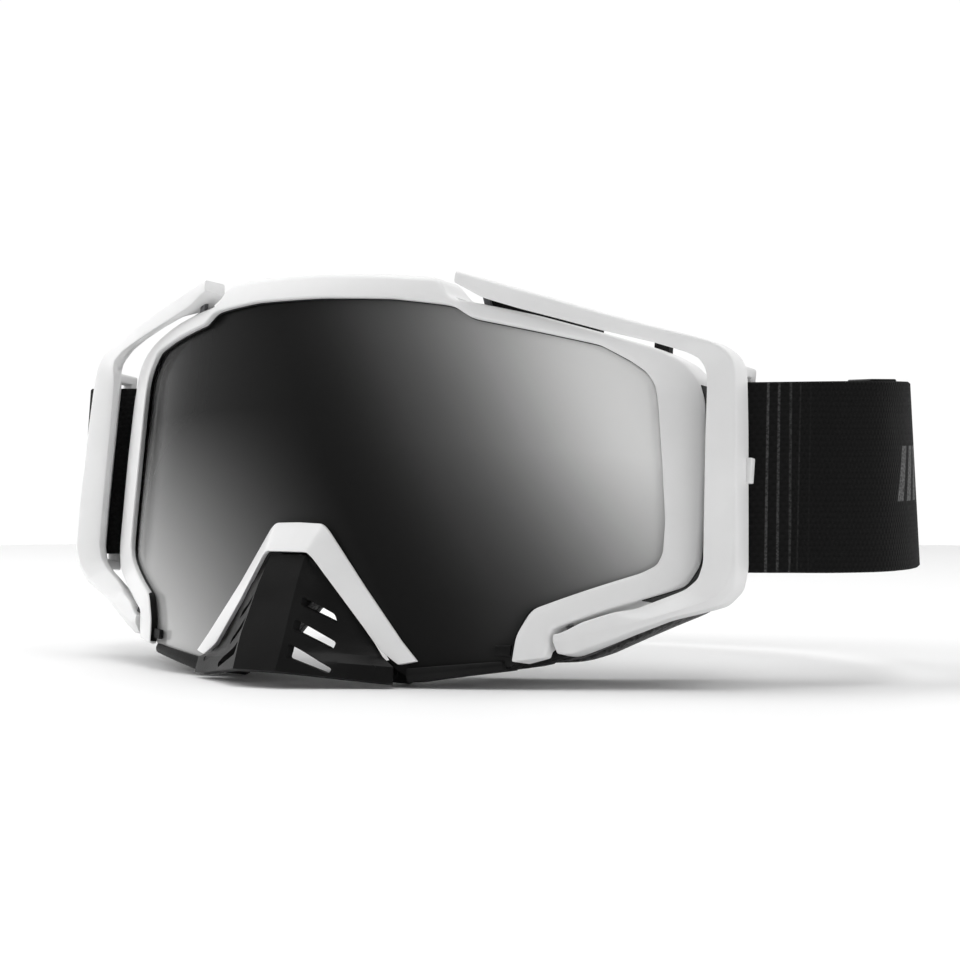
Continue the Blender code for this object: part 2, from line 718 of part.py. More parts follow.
def at_length(line, lengths, target):
    for i in range(len(line) - 1):
        if lengths[i + 1] >= target - 1e-9:
            return line[i].lerp(line[i + 1], (target - lengths[i]) / (lengths[i + 1] - lengths[i]))
    return line[-1]


def normal_at(line, lengths, target):
    ahead = at_length(line, lengths, min(target + 1, lengths[-1]))
    behind = at_length(line, lengths, max(target - 1, 0))
    if target >= lengths[-1] - 1e-6:
        return Vector((0, 1))
    along = ahead - behind
    return Vector((along.y, -along.x)).normalized()


def make_strap_band(line, lengths, parent):
    half = STRAP_WIDTH / 2
    right = []
    for point, length in run(line, lengths, STRAP_END_LENGTH, lengths[-1]):
        normal = normal_at(line, lengths, length)
        right.append(band_section(point, normal, length, 1, -half, half))
    left = [[Vector((-c.x, c.y, c.z)) for c in section] for section in right[:-1]]
    loft("strap_band", right + left[::-1], parent, WEBBING)


def make_strap_end(side, hand, line, lengths, parent):
    """The hairpin round the bar: the inner run, the turn, and the outer run."""
    half = STRAP_WIDTH / 2
    end = at_length(line, lengths, STRAP_END_LENGTH - GAP)
    end_normal = normal_at(line, lengths, STRAP_END_LENGTH)
    outward = normal_at(line, lengths, 2)
    centre = leaned(STRAP_BAR).xy
    inner_end = end - end_normal * TAIL_INSET
    opened = inner_end.lerp(centre - outward * TURN_RADIUS, 0.5)
    path = [(inner_end, STRAP_END_LENGTH), (opened, STRAP_END_LENGTH / 2)]
    start = math.atan2(-outward.y, -outward.x)
    for k in range(9):
        turn = start + math.pi * k / 8
        path.append((centre + TURN_RADIUS * Vector((math.cos(turn), math.sin(turn))), 0))
    path.append((end.lerp(centre + outward * TURN_RADIUS, 0.5), STRAP_END_LENGTH / 2))
    path.append((end, STRAP_END_LENGTH))
    points = [p for p, s in path]
    normals = outward_normals(points)
    normals[0] = -end_normal
    normals[-1] = end_normal
    sections = []
    for (point, length), normal in zip(path, normals):
        sections.append(band_section(point, normal, length, side, -half, half))
    pivot = leaned(Vector((side * PIVOT_UPPER.x, PIVOT_UPPER.y, PIVOT_UPPER.z)))
    loft(f"strap_end_{hand}", sections, parent, WEBBING, origin=pivot)


def slider_place(line, lengths):
    """Where the slider stands: length along the band, point, direction and outward normal in plan."""
    length = lengths[STRETCH_FROM * ROUTE_STEPS] + SLIDER_ALONG_STRETCH
    point = at_length(line, lengths, length)
    normal = normal_at(line, lengths, length)
    return length, point, Vector((-normal.y, normal.x)), normal


def make_strap_tail(side, hand, line, lengths, parent):
    half = STRAP_WIDTH / 2
    end = slider_place(line, lengths)[0] - SLIDER_LOOP_RUN - GAP
    sections = []
    for point, at in run(line, lengths, STRAP_END_LENGTH, end):
        normal = normal_at(line, lengths, at)
        sections.append(band_section(point, normal, at, side, -half, half, shift=-TAIL_INSET))
    loft(f"strap_tail_{hand}", sections, parent, WEBBING)


def slider_corner(side, place, along, across, height):
    length, point, direction, normal = place
    flat = point + direction * along + normal * across
    return Vector((side * flat.x, flat.y, strap_middle(length) + height))


def slider_box(name, side, place, along, across, heights, parent, spec=None, origin=(0, 0, 0)):
    corners = [slider_corner(side, place, a, c, h) for h in heights for c in across for a in along]
    return add_object(name, corners, BOX_FACES, parent, spec, origin)


def make_slider(side, hand, line, lengths, parent):
    """Three-bar slider: two bars outside the band, one inside it, and a rail above and below."""
    place = slider_place(line, lengths)
    origin = slider_corner(side, place, 0, 0, 0)
    half = STRAP_WIDTH / 2
    rail = (half + RAIL_CLEAR, half + RAIL_CLEAR + RAIL_HEIGHT)
    reach = (-rail[0] - RAIL_BITE, rail[0] + RAIL_BITE)
    length = SLIDER_HALF_LENGTH
    across = (SLIDER_INNER[0], SLIDER_OUTER[1])
    along = (-length, length)
    slider = slider_box(f"strap_slider_{hand}", side, place, along, across, rail, parent, BLACK, origin)
    lower = (-rail[1], -rail[0])
    boolean(slider, slider_box(f"rail_{hand}", side, place, along, across, lower, parent), "UNION")
    bars = {
        "near": ((-length, -length + SLIDER_BAR), SLIDER_OUTER),
        "far": ((length - SLIDER_BAR, length), SLIDER_OUTER),
        "middle": ((-SLIDER_BAR / 2, SLIDER_BAR / 2), SLIDER_INNER),
    }
    for name, (along, depth) in bars.items():
        boolean(slider, slider_box(f"bar_{name}_{hand}", side, place, along, depth, reach, parent), "UNION")


def make_slider_loop(side, hand, line, lengths, parent):
    """The end of the strap's inner run, turned round the slider's middle bar and sewn to itself."""
    place = slider_place(line, lengths)
    half = STRAP_WIDTH / 2 - LOOP_INSET
    radius = (SLIDER_INNER[1] - SLIDER_INNER[0]) / 2 + GAP + STRAP_THICK / 2
    middle = (SLIDER_INNER[0] + SLIDER_INNER[1]) / 2
    path = [(-SLIDER_LOOP_RUN, -TAIL_INSET)]
    for k in range(9):
        turn = math.pi * (0.5 - k / 8)
        along = SLIDER_BAR / 2 - SLIDER_LOOP_SET + radius * math.cos(turn)
        path.append((along, middle + radius * math.sin(turn)))
    path.append((-SLIDER_LOOP_RUN, middle - radius))
    points = [Vector(p) for p in path]
    normals = []
    for i in range(len(points)):
        along = points[min(i + 1, len(points) - 1)] - points[max(i - 1, 0)]
        normals.append(Vector((-along.y, along.x)).normalized())
    sections = []
    for point, normal in zip(points, normals):
        inner = point - normal * STRAP_THICK / 2
        outer = point + normal * STRAP_THICK / 2
        corners = ((inner, -half), (outer, -half), (outer, half), (inner, half))
        sections.append([slider_corner(side, place, p.x, p.y, h) for p, h in corners])
    loft(f"slider_loop_{hand}", sections, parent, WEBBING, origin=slider_corner(side, place, 0, 0, 0))


def make_grip_strips(line, lengths, parent):
    """Rubbery lines along the inside of the band at the back."""
    start = lengths[int(GRIP_FROM * ROUTE_STEPS)]
    shift = -STRAP_THICK / 2 - GAP - GRIP_THICK / 2
    for name, height in GRIP_HEIGHTS.items():
        right = []
        for point, length in run(line, lengths, start, lengths[-1]):
            normal = normal_at(line, lengths, length)
            low = height - GRIP_HEIGHT / 2
            high = height + GRIP_HEIGHT / 2
            right.append(band_section(point, normal, length, 1, low, high, shift, GRIP_THICK))
        left = [[Vector((-c.x, c.y, c.z)) for c in section] for section in right[:-1]]
        loft(f"grip_strip_{name}", right + left[::-1], parent, SILICONE)


def main():
    clear_scene()
    goggles = empty("goggles", location=(0, -BASE_BACK, BASE_DROP))
    face = empty("face", goggles, lean=-LEAN)
    make_front_shell(face)
    make_lens(face)
    make_inner_frame(face)
    make_nose_guard(face)
    make_nose_trim(face)
    make_pivot_pins(face)
    make_foam(face)
    make_vent_foam(face)
    line = strap_line()
    lengths = route_lengths(line)
    make_strap_band(line, lengths, goggles)
    make_grip_strips(line, lengths, goggles)
    for side, hand in ((1, "right"), (-1, "left")):
        make_outrigger(side, hand, face)
        make_strap_end(side, hand, line, lengths, goggles)
        make_strap_tail(side, hand, line, lengths, goggles)
        make_slider(side, hand, line, lengths, goggles)
        make_slider_loop(side, hand, line, lengths, goggles)


main()
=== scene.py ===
"""Looks of the motorcycle goggles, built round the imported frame.

Outlines are in millimetres, in the same two frames as the CAD: the face frame, drawn upright and leaned back
by LEAN, and the level frame of the strap. X is to the wearer's left, Y back towards the face, Z up.
"""

import math

import bmesh
import bpy
import numpy as np
from mathutils import Matrix, Vector


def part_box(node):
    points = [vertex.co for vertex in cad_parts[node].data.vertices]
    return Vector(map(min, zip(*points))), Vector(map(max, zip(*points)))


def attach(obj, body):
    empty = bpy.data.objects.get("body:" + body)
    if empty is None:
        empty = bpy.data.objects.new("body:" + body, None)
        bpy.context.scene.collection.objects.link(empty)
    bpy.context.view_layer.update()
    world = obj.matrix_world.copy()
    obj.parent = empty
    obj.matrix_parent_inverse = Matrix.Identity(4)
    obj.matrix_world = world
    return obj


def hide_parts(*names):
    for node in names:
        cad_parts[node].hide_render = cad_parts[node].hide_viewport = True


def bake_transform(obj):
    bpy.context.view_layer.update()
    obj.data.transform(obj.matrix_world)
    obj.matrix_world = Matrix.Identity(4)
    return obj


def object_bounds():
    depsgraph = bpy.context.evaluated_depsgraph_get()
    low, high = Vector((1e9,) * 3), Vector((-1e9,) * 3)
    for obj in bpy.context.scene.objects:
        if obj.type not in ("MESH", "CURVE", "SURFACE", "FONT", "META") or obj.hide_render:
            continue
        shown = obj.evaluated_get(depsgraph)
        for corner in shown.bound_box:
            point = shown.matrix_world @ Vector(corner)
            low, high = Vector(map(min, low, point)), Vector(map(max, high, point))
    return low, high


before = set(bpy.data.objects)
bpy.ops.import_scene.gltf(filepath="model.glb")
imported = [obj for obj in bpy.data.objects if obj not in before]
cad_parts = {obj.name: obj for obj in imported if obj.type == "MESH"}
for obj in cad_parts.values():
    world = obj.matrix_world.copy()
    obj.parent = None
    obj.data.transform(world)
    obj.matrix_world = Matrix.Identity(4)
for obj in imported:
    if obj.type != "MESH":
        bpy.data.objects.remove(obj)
cad_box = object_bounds()

MM = 0.001
GAP = 0.3
LEAN = math.radians(8)
BEND_RADIUS = 110
BEND_CENTRE_Y = 75.5
BOTTOM_TAPER = 0.004

# Lens opening, right half from the top centre down to the nose: (x, z, corner radius).
LENS_OPENING = [
    (0, 52.0, 0), (36.5, 49.6, 14), (66.5, 43.2, 14), (77.3, 37.0, 9), (80.4, 3.0, 60),
    (79.9, -8.6, 6), (57.2, -20.8, 5), (53.4, -26.6, 6), (53.2, -32.4, 4), (29.0, -36.2, 4),
    (8.2, -8.6, 4.5), (0, -7.6, 0),
]
CAD_HALF_RING = 44
HALF_RING = 150
RING_CENTRE_Z = 18
FOAM_OUTLINE = [
    (0, 52.0, 0), (42, 49.0, 30), (77.0, 38.0, 16), (80.6, 3.0, 60),
    (78.0, -14.0, 16), (55.0, -31.4, 14), (32.0, -34.0, 10), (9.4, -9.4, 8), (0, -8.4, 0),
]

LENS_DEPTH = 2.9
LENS_THICK = 1.2
LENS_HOLD = 1.5
LENS_SHARES = [0.04] + [0.08 * k for k in range(1, 12)] + [0.93, 0.975, 1.0]
RABBET = 2.4
FRAME_FRONT = LENS_DEPTH + LENS_THICK + GAP
FRAME_FLANGE = 3.0
FRAME_BACK = 22
FRAME_OUTSIDE = RABBET - GAP
FRAME_WALL = 2.6
FRAME_FLANGE_IN = 4

# White rim, right half from the top centre to the hook: inner x, z, outer x, z, how far the outer edge stands
# behind the cylinder, and the round on that edge.
RIM = [
    (0, 52.0, 0, 58.2, 1.0, 1.6),
    (20, 51.7, 20, 57.8, 1.0, 1.6),
    (30.5, 50.8, 30.4, 57.2, 0.9, 1.2),
    (33.6, 50.5, 32.6, 55.4, 0.6, 0.8),
    (35.6, 50.1, 34.2, 52.7, 0.4, 0.6),
    (37.0, 49.4, 36.6, 51.7, 0.4, 0.6),
    (39.8, 47.5, 41, 51.2, 0.3, 0.8),
    (53, 45.4, 54, 49.0, 0, 0.9),
    (66.5, 43.2, 66.5, 46.2, -0.6, 1.0),
    (72.4, 40.0, 77.0, 43.7, -1.4, 1.2),
    (75.6, 37.6, 82.0, 41.2, -2.4, 1.3),
    (77.2, 34.6, 85.2, 37.2, -3.2, 1.3),
    (77.9, 30.0, 86.6, 32.0, -3.8, 0.9),
    (79.2, 17.0, 87.6, 18.0, -4.5, 0.8),
    (80.4, 3.0, 88.0, 3.0, -4.7, 0.8),
    (80.4, -4.4, 88.0, -6.4, -4.7, 0.8),
    (79.6, -7.4, 85.6, -12.0, -3.6, 1.1),
    (77.0, -9.6, 81.0, -14.4, -2.4, 1.1),
    (67.0, -14.9, 70.5, -19.6, -1.0, 1.1),
    (57.2, -20.2, 61.6, -24.4, -0.6, 1.0),
    (54.4, -26.6, 61.4, -28.0, -0.4, 0.9),
    (54.0, -32.2, 60.8, -30.6, -0.2, 0.8),
]
RIM_LIP = LENS_DEPTH - GAP
RIM_DEPTH = 10
HOOK_DEPTH = 3.4
HOOK_FADE = (-30, -22)
RIM_CROWN = 0.35
RIM_INNER_ROUND = 1.0
EDGING_FRONT = 1.9
EDGING_FRONT_LOW = 0.3
EDGING_LOW_FROM = -20
EDGING_SIDES = (-0.2, -0.03)
EDGING_BACK = 2.56

# Painted shade: a black skin on the rim's outer wall darkens the gap beside the outrigger.
GAP_SHADE_FROM_X = 67
GAP_SHADE_HEIGHTS = (-16, 36)
GAP_SHADE_SECTION = [(-0.3, 1.5), (0.25, 1.5), (0.25, 8.5), (-0.3, 8.5)]
# Black plates, right hand: x, low z and high z, and their depths behind the cylinder. The brow plate and tab
# are painted shade in the gap under the upper arm; the chin plate and lens clip belong to the inner frame.
BROW_SHADE_PLATE = [(40.5, 50.0, 53.2), (44, 49.8, 53.4), (52, 48.2, 52.0), (58, 47.0, 50.4), (64.5, 45.5, 48.9)]
BROW_SHADE_TAB = [(74.8, 42.6, 46.4), (77.4, 41.8, 45.6)]
BROW_SHADE_DEPTHS = (5.2, 7.2)
CHIN_PLATE = [
    (49.0, -34.6, -31.4), (54.0, -33.6, -30.6), (57.7, -32.2, -29.4), (65.0, -28.7, -26.0),
    (71.3, -25.4, -23.0), (77.0, -21.6, -20.4),
]
CHIN_DEPTHS = (6.8, 9.2)
LENS_CLIP = [(50.2, -31.6, -29.2), (53.4, -31.4, -28.8)]
CLIP_DEPTHS = (0.9, 2.5)
PLATE_STEPS = 24
PLATE_ROUND = 0.4

# Outrigger, right hand, from the upper tip round to the lower end: outer x, z, inner x, z, front y, depth,
# width of the bevel beside the front face, and how far the inner side slants away behind its front wall.
OUTRIGGER = [
    (37.6, 57.8, 37.4, 55.2, -31.0, 8.0, 0.3, 0),
    (44.0, 56.4, 43.6, 52.0, -28.8, 8.0, 0.5, 0),
    (52.0, 54.3, 51.6, 49.9, -25.4, 4.6, 0.5, 1.0),
    (61.0, 52.0, 60.5, 47.9, -21.4, 4.2, 0.5, 1.0),
    (70.0, 49.7, 69.5, 45.8, -17.2, 4.4, 0.5, 1.0),
    (80.0, 47.4, 79.4, 44.0, -11.2, 5.0, 0.5, 1.0),
    (88.0, 45.8, 86.4, 42.2, -6.2, 5.6, 0.5, 1.0),
    (92.6, 44.6, 88.9, 41.0, -3.4, 6.0, 0.5, 2.0),
    (95.6, 42.4, 89.8, 38.8, -1.6, 6.2, 0.4, 3.0),
    (97.0, 39.2, 90.0, 36.0, -0.9, 6.4, 0.4, 3.0),
    (98.2, 24.0, 90.3, 23.0, -0.5, 6.4, 0.4, 3.0),
    (99.3, 6.0, 91.0, 6.0, 0, 6.4, 0.4, 3.0),
    (100.0, -7.4, 91.4, -6.6, 0.6, 6.4, 0.7, 3.0),
    (99.2, -12.4, 90.2, -10.4, 0.8, 6.2, 1.8, 3.0),
    (96.0, -16.0, 87.4, -13.0, 0.2, 6.0, 2.3, 3.0),
    (91.5, -17.8, 83.0, -15.2, -1.6, 5.4, 2.0, 2.0),
    (84.6, -20.2, 77.4, -18.2, -4.8, 5.2, 1.4, 1.0),
    (76.8, -24.0, 74.0, -19.4, -8.8, 6.0, 1.4, 1.0),
    (70.0, -27.6, 68.0, -22.2, -12.6, 7.0, 1.9, 0),
    (65.0, -30.0, 64.0, -25.2, -15.4, 8.0, 2.6, 0),
    (62.9, -29.8, 62.8, -25.6, -16.2, 8.0, 2.4, 0),
]
PIVOT_UPPER = Vector((42.0, -24.6, 54.0))
PIVOT_LOWER = Vector((65.6, -11.6, -27.0))
PIN_RADIUS = 0.9
PIN_ABOVE = 1.0
PIN_LENGTH = 5.0
STRAP_BAR = Vector((94.5, 11.0, 14.9))
OUTRIGGER_WALL = 2.4
OUTRIGGER_FLARE = 0.4
OUTRIGGER_CROWN = 0.2
BEVEL_LIMIT = 0.6
SHOULDER_OUT = 0.16
SHOULDER_BACK = 0.9
BAR_HALF_X = 1.7
BAR_HALF_Y = 1.2
BAR_HALF_Z = 25.8
WEB_THICK = 2.6
WEB_FRONT = 3.0
TAB = [(98.6, 4.6, 12.7), (100.3, 6.5, 18.7)]

# Nose guard, right half from the top down: x, y, z of the ridge, then of the guard's edge.
GUARD_ROWS = [
    (5.0, -37.4, -10.7, 5.6, -37.0, -10.9),
    (5.6, -40.6, -18.0, 12.4, -34.6, -18.0),
    (6.0, -43.0, -25.0, 17.9, -32.0, -25.0),
    (6.4, -44.8, -30.4, 22.2, -30.3, -30.4),
    (6.4, -45.6, -33.4, 24.8, -30.2, -33.6),
    (6.3, -46.2, -35.8, 29.0, -31.6, -35.9),
    (6.2, -47.0, -38.9, 29.4, -32.2, -39.8),
]
GUARD_THICK = 1.8
GUARD_BELLY = 0.6
# Wedge-shaped slots in the guard's right side, by their corners seen from the front.
GUARD_SLOTS = [
    [(7.2, -20.8), (13.6, -24.3), (14.6, -26.4), (7.4, -22.9)],
    [(7.3, -26.2), (15.4, -31.0), (15.3, -32.9), (7.4, -28.8)],
    [(7.5, -32.2), (16.9, -37.4), (16.4, -38.6), (7.6, -35.4)],
]
SLOT_DEPTHS = (-52, -24)
SLOT_ROUND = 0.5
PEGS = [(0, -11.8), (24.6, -36.6), (-24.6, -36.6)]
PEG_RADIUS = 1.0
PEG_LENGTH = 13.5
SOCKET_RADIUS = 2.6
SOCKET_LENGTH = 8
SOCKET_INSET = 0.8

# Nose trim, right half from the top centre to the foot: outer x, z, inner x, z, outer y, inner y.
TRIM = [
    (0, -2.6, 0, -10.1, -34.4, -38.7),
    (6.8, -2.8, 6.0, -10.1, -34.2, -38.5),
    (8.4, -4.2, 7.4, -11.4, -33.9, -37.8),
    (18.2, -17.0, 15.6, -21.6, -31.2, -34.2),
    (28.6, -29.6, 24.6, -32.4, -28.9, -30.9),
    (32.6, -33.9, 28.6, -35.0, -27.8, -29.9),
]
TRIM_THICK_OUTER = 0.9
TRIM_THICK_INNER = 1.6

LIP_HALF_SPAN = (30.6, 51.4)
LIP_HEIGHTS = (3.4, 2.3)
LIP_FRONT = 1.0
LIP_BACK = 8

# Face foam: name, front and back depth, how far its outer and inner edges stand outside the outline, round.
FOAM_LAYERS = [
    ("foam_base", 22.3, 29.7, 2.0, -8.5, 1.2),
    ("foam_middle", 30.0, 35.7, 2.6, -9.5, 1.6),
    ("face_fleece", 36.0, 38.6, 2.2, -9.0, 1.2),
]
FLEECE_CROWN = 0.5
TOP_VENTS = [(-48, 13), (-29, 15), (-9.6, 15), (9.6, 15), (29, 15), (48, 13)]
LOWER_VENTS = [(43.5, 13), (-43.5, 13)]
TOP_VENT_HEIGHTS = (40, 60)
LOWER_VENT_HEIGHTS = (-45, -22)
VENT_ROUND = 1.2
VENT_DEPTH = 14.2
VENT_LENGTH_Y = 7
VENT_FOAM_THICK = 2.6
TOP_FOAM_END = 57
LOWER_FOAM_SPAN = (35, 49.6)
LOWER_FOAM_UNDER = -30

# Strap, in the level frame: route of the outer band from the right-hand bar to the back centre.
STRAP_WIDTH = 45
STRAP_THICK = 1.3
STRAP_RISE = 0.004
STRAP_ROUTE = [
    (96.1, 10.4), (105.8, 16.7), (115.6, 23.1), (121.6, 33.9), (120.0, 51.4), (112.0, 69.4),
    (101.0, 82.5), (85.5, 94.25), (70.0, 106.0), (52.0, 113.0), (27.0, 117.0), (0, 118.0),
]
ROUTE_STEPS = 12
BAND_STEPS = 8
BAND_EDGE = 0.3
BAND_BLUNT = 0.4
FRONT_LENGTH = 52
BAND_OPENS = 12
TURN_RADIUS = 3.0
TURN_STEPS = 12
TURN_CLOTH = 0.8
TAIL_INSET = 1.6
LEAN_FADE = 45
STRAP_FLARE = 0.055
STRETCH_FROM = 6
STRETCH_TO = 8
SLIDER_ALONG_STRETCH = 9.5
SLIDER_HALF_LENGTH = 6.6
SLIDER_BAR = 3.2
SLIDER_OUTER = (0.95, 2.9)
SLIDER_INNER = (-4.55, -2.55)
SLIDER_LOOP_RUN = 9
LOOP_BACK = 0.6
LOOP_NARROWER = 0.4
# Stitches on the loop: rows along the strap, and each one's arc by share of length, lift and radius.
STITCH_ROWS = (-7.4, -5.2)
STITCH_MARGIN = 2
STITCH_PITCH = 3.0
STITCH_LENGTH = 2.25
STITCH_ARC = [(0.0, 0.0, 0.12), (0.15, 0.22, 0.22), (0.5, 0.3, 0.22), (0.85, 0.22, 0.22), (1.0, 0.0, 0.12)]
RAIL_CLEAR = 0.3
RAIL_HEIGHT = 0.9
RAIL_BITE = 0.8
GRIP_HEIGHTS = {"upper": 14, "middle": 0, "lower": -14}
GRIP_HEIGHT = 1.6
GRIP_THICK = 0.5
GRIP_FROM = 8.6

SHARP = math.radians(32)
CORNER_STEPS = 9
EDGE_STEPS = 3
BOX_FACES = [(0, 1, 3, 2), (4, 5, 7, 6), (0, 1, 5, 4), (2, 3, 7, 6), (0, 2, 6, 4), (1, 3, 7, 5)]
ROD_SIDES = 32
ROD_ROUND = 0.25
BLOCK_ROUND = 0.7


# ---------------------------------------------------------------- frames

def lens_low():
    """Lowest y and z of the CAD lens in the goggles' own frame, in millimetres."""
    outline = offset(mirrored(spaced(rounded(LENS_OPENING), CAD_HALF_RING)), LENS_HOLD)
    ys = []
    zs = []
    for depth in (LENS_DEPTH, LENS_DEPTH + LENS_THICK):
        for corner in outline:
            spot = leaned(Vector((corner.x, bend_y(corner.x, depth), corner.y)))
            ys.append(spot.y)
            zs.append(spot.z)
    return min(ys), min(zs)


def leaned(point):
    return Matrix.Rotation(-LEAN, 3, "X") @ Vector(point)


def level(point):
    """A point of the level frame, in metres in the row's frame."""
    return (Vector(point) + SHIFT) * MM


def face(point):
    """A point of the leaned face frame, in metres in the row's frame."""
    return level(leaned(point))


# ---------------------------------------------------------------- outlines

def bend_y(x, depth=0.0):
    return BEND_CENTRE_Y - math.sqrt(BEND_RADIUS ** 2 - x * x) + depth


def on_face(x, z, depth):
    rise = BOTTOM_TAPER * max(0.0, depth - FRAME_FRONT)
    height = z if z > 0 else z * (1 - rise)
    return Vector((x, bend_y(x, depth), height))


def corner_curve(start, corner, end, steps):
    shares = [k / steps for k in range(steps + 1)]
    return [start * (1 - t) ** 2 + corner * 2 * t * (1 - t) + end * t * t for t in shares]


def rounded(points):
    """An open outline of (x, z, radius) points with its inner corners rounded."""
    made = [Vector(points[0][:2])]
    for before, (x, z, radius), after in zip(points, points[1:], points[2:]):
        corner = Vector((x, z))
        back = Vector(before[:2]) - corner
        ahead = Vector(after[:2]) - corner
        turn = math.pi - back.angle(ahead)
        reach = min(radius * math.tan(turn / 2), 0.45 * back.length, 0.45 * ahead.length)
        start = corner + back.normalized() * reach
        end = corner + ahead.normalized() * reach
        made += corner_curve(start, corner, end, CORNER_STEPS)
    made.append(Vector(points[-1][:2]))
    return made


def spaced(points, count):
    """The same line with points at even steps, one more than count."""
    lengths = route_lengths(points)
    made = []
    k = 0
    for i in range(count + 1):
        target = lengths[-1] * i / count
        while k < len(points) - 2 and lengths[k + 1] < target:
            k += 1
        part = (target - lengths[k]) / (lengths[k + 1] - lengths[k])
        made.append(points[k].lerp(points[k + 1], part))
    return made


def mirrored(half):
    return half + [Vector((-p.x, p.y)) for p in half[-2:0:-1]]


def outward_of(before, after):
    along = after - before
    return Vector((-along.y, along.x)).normalized()


def offset(outline, distance):
    made = []
    for i, point in enumerate(outline):
        made.append(point + outward_of(outline[i - 1], outline[(i + 1) % len(outline)]) * distance)
    return made


def opening():
    return mirrored(spaced(rounded(LENS_OPENING), HALF_RING))


def route_lengths(line):
    made = [0.0]
    for a, b in zip(line, line[1:]):
        made.append(made[-1] + (b - a).length)
    return made


def smooth_rows(rows, step, spread):
    """Rows of numbers at even steps along their line, with corners eased over a spread in millimetres."""
    rows = np.array(rows, float)
    middle = (rows[:, 0:2] + rows[:, 2:4]) / 2
    lengths = np.r_[0, np.cumsum(np.linalg.norm(np.diff(middle, axis=0), axis=1))]
    places = np.linspace(0, lengths[-1], round(lengths[-1] / step) + 1)
    fine = np.column_stack([np.interp(places, lengths, column) for column in rows.T])
    reach = math.ceil(3 * spread / step)
    weights = np.exp(-0.5 * (np.arange(-reach, reach + 1) * step / spread) ** 2)
    weights /= weights.sum()
    head = 2 * fine[0] - fine[reach:0:-1]
    tail = 2 * fine[-1] - fine[-2:-reach - 2:-1]
    padded = np.vstack([head, fine, tail])
    return np.column_stack([np.convolve(column, weights, "valid") for column in padded.T])


def round_section(corners, radii):
    """A closed polygon with each corner turned into a short curve."""
    corners = [Vector(c) for c in corners]
    made = []
    for i, (corner, radius) in enumerate(zip(corners, radii)):
        back = corners[i - 1] - corner
        ahead = corners[(i + 1) % len(corners)] - corner
        start = corner + back.normalized() * min(radius, 0.45 * back.length)
        end = corner + ahead.normalized() * min(radius, 0.45 * ahead.length)
        made += corner_curve(start, corner, end, EDGE_STEPS)
    return made


# ---------------------------------------------------------------- meshes

def add_mesh(name, points, faces, place=None, uvs=None):
    """An object from points in millimetres, put in the row's frame by a placing function."""
    mesh = bpy.data.meshes.new(name)
    mesh.from_pydata([place(p) if place else p for p in points], [], faces)
    work = bmesh.new()
    work.from_mesh(mesh)
    bmesh.ops.recalc_face_normals(work, faces=work.faces)
    work.to_mesh(mesh)
    work.free()
    if uvs:
        layer = mesh.uv_layers.new(name="cloth")
        for loop in mesh.loops:
            layer.data[loop.index].uv = uvs[loop.vertex_index]
    made = bpy.data.objects.new(name, mesh)
    bpy.context.scene.collection.objects.link(made)
    smooth_shading(made)
    return made


def loft(name, sections, place, ring=False, uvs=None):
    count = len(sections[0])
    points = [p for section in sections for p in section]
    faces = []
    for i in range(len(sections) if ring else len(sections) - 1):
        a = i * count
        b = (i + 1) % len(sections) * count
        for k in range(count):
            n = (k + 1) % count
            faces.append((a + k, a + n, b + n, b + k))
    if not ring:
        last = len(points) - count
        faces.append(tuple(range(count - 1, -1, -1)))
        faces.append(tuple(range(last, last + count)))
    return add_mesh(name, points, faces, place, uvs)


def domed(sections, bulge):
    """The same sections with both ends rounded off."""
    def dome(end, before):
        centre = sum(end, Vector()) / len(end)
        ahead = (centre - sum(before, Vector()) / len(before)).normalized()
        radius = max((p - centre).length for p in end)
        made = []
        for degrees in (30, 60, 85):
            turn = math.radians(degrees)
            share = 1 - bulge * (1 - math.cos(turn)) / radius
            made.append([centre + (p - centre) * share + ahead * bulge * math.sin(turn) for p in end])
        return made
    first = dome(sections[0], sections[1])
    last = dome(sections[-1], sections[-2])
    return first[::-1] + sections + last


def rod(name, start, end, radius, place):
    start = Vector(start)
    axis = (Vector(end) - start).normalized()
    across = axis.orthogonal().normalized()
    up = axis.cross(across)
    turns = [2 * math.pi * k / ROD_SIDES for k in range(ROD_SIDES)]
    ring = [radius * (math.cos(t) * across + math.sin(t) * up) for t in turns]
    sections = [[centre + spoke for spoke in ring] for centre in (start, Vector(end))]
    return loft(name, domed(sections, ROD_ROUND), place)


def block(name, low, high, place):
    xs, ys, zs = zip(low, high)
    corners = [Vector((x, y, z)) for z in zs for y in ys for x in xs]
    return add_mesh(name, corners, BOX_FACES, place)


def prism(name, corners, near_y, far_y, place):
    """A solid whose outline is given in x and z, from one y to another."""
    return loft(name, [[Vector((x, y, z)) for x, z in corners] for y in (near_y, far_y)], place)


def bevelled(made, width, segments=3, angle=35):
    modifier = made.modifiers.new("edges", "BEVEL")
    modifier.width = width * MM
    modifier.segments = segments
    modifier.limit_method = "ANGLE"
    modifier.angle_limit = math.radians(angle)
    return made


def cut(made, other, operation):
    """Applies a Boolean with another object, which is then removed."""
    modifier = made.modifiers.new("cut", "BOOLEAN")
    modifier.operation = operation
    modifier.object = other
    apply_modifiers(made)
    bpy.data.objects.remove(other)


def apply_modifiers(made):
    graph = bpy.context.evaluated_depsgraph_get()
    mesh = bpy.data.meshes.new_from_object(made.evaluated_get(graph))
    made.modifiers.clear()
    made.data = mesh


def smooth_shading(made):
    made.data.shade_smooth()
    made.data.set_sharp_from_angle(angle=SHARP)


def put(made, body, paint, slot, *nodes):
    """Rides a piece on its body, paints it, and hides the CAD nodes that it stands for."""
    made.data.materials.clear()
    made.data.materials.append(paint)
    if body:
        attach(made, body)
    if nodes:
        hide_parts(*nodes)
    return made


# ---------------------------------------------------------------- material helpers

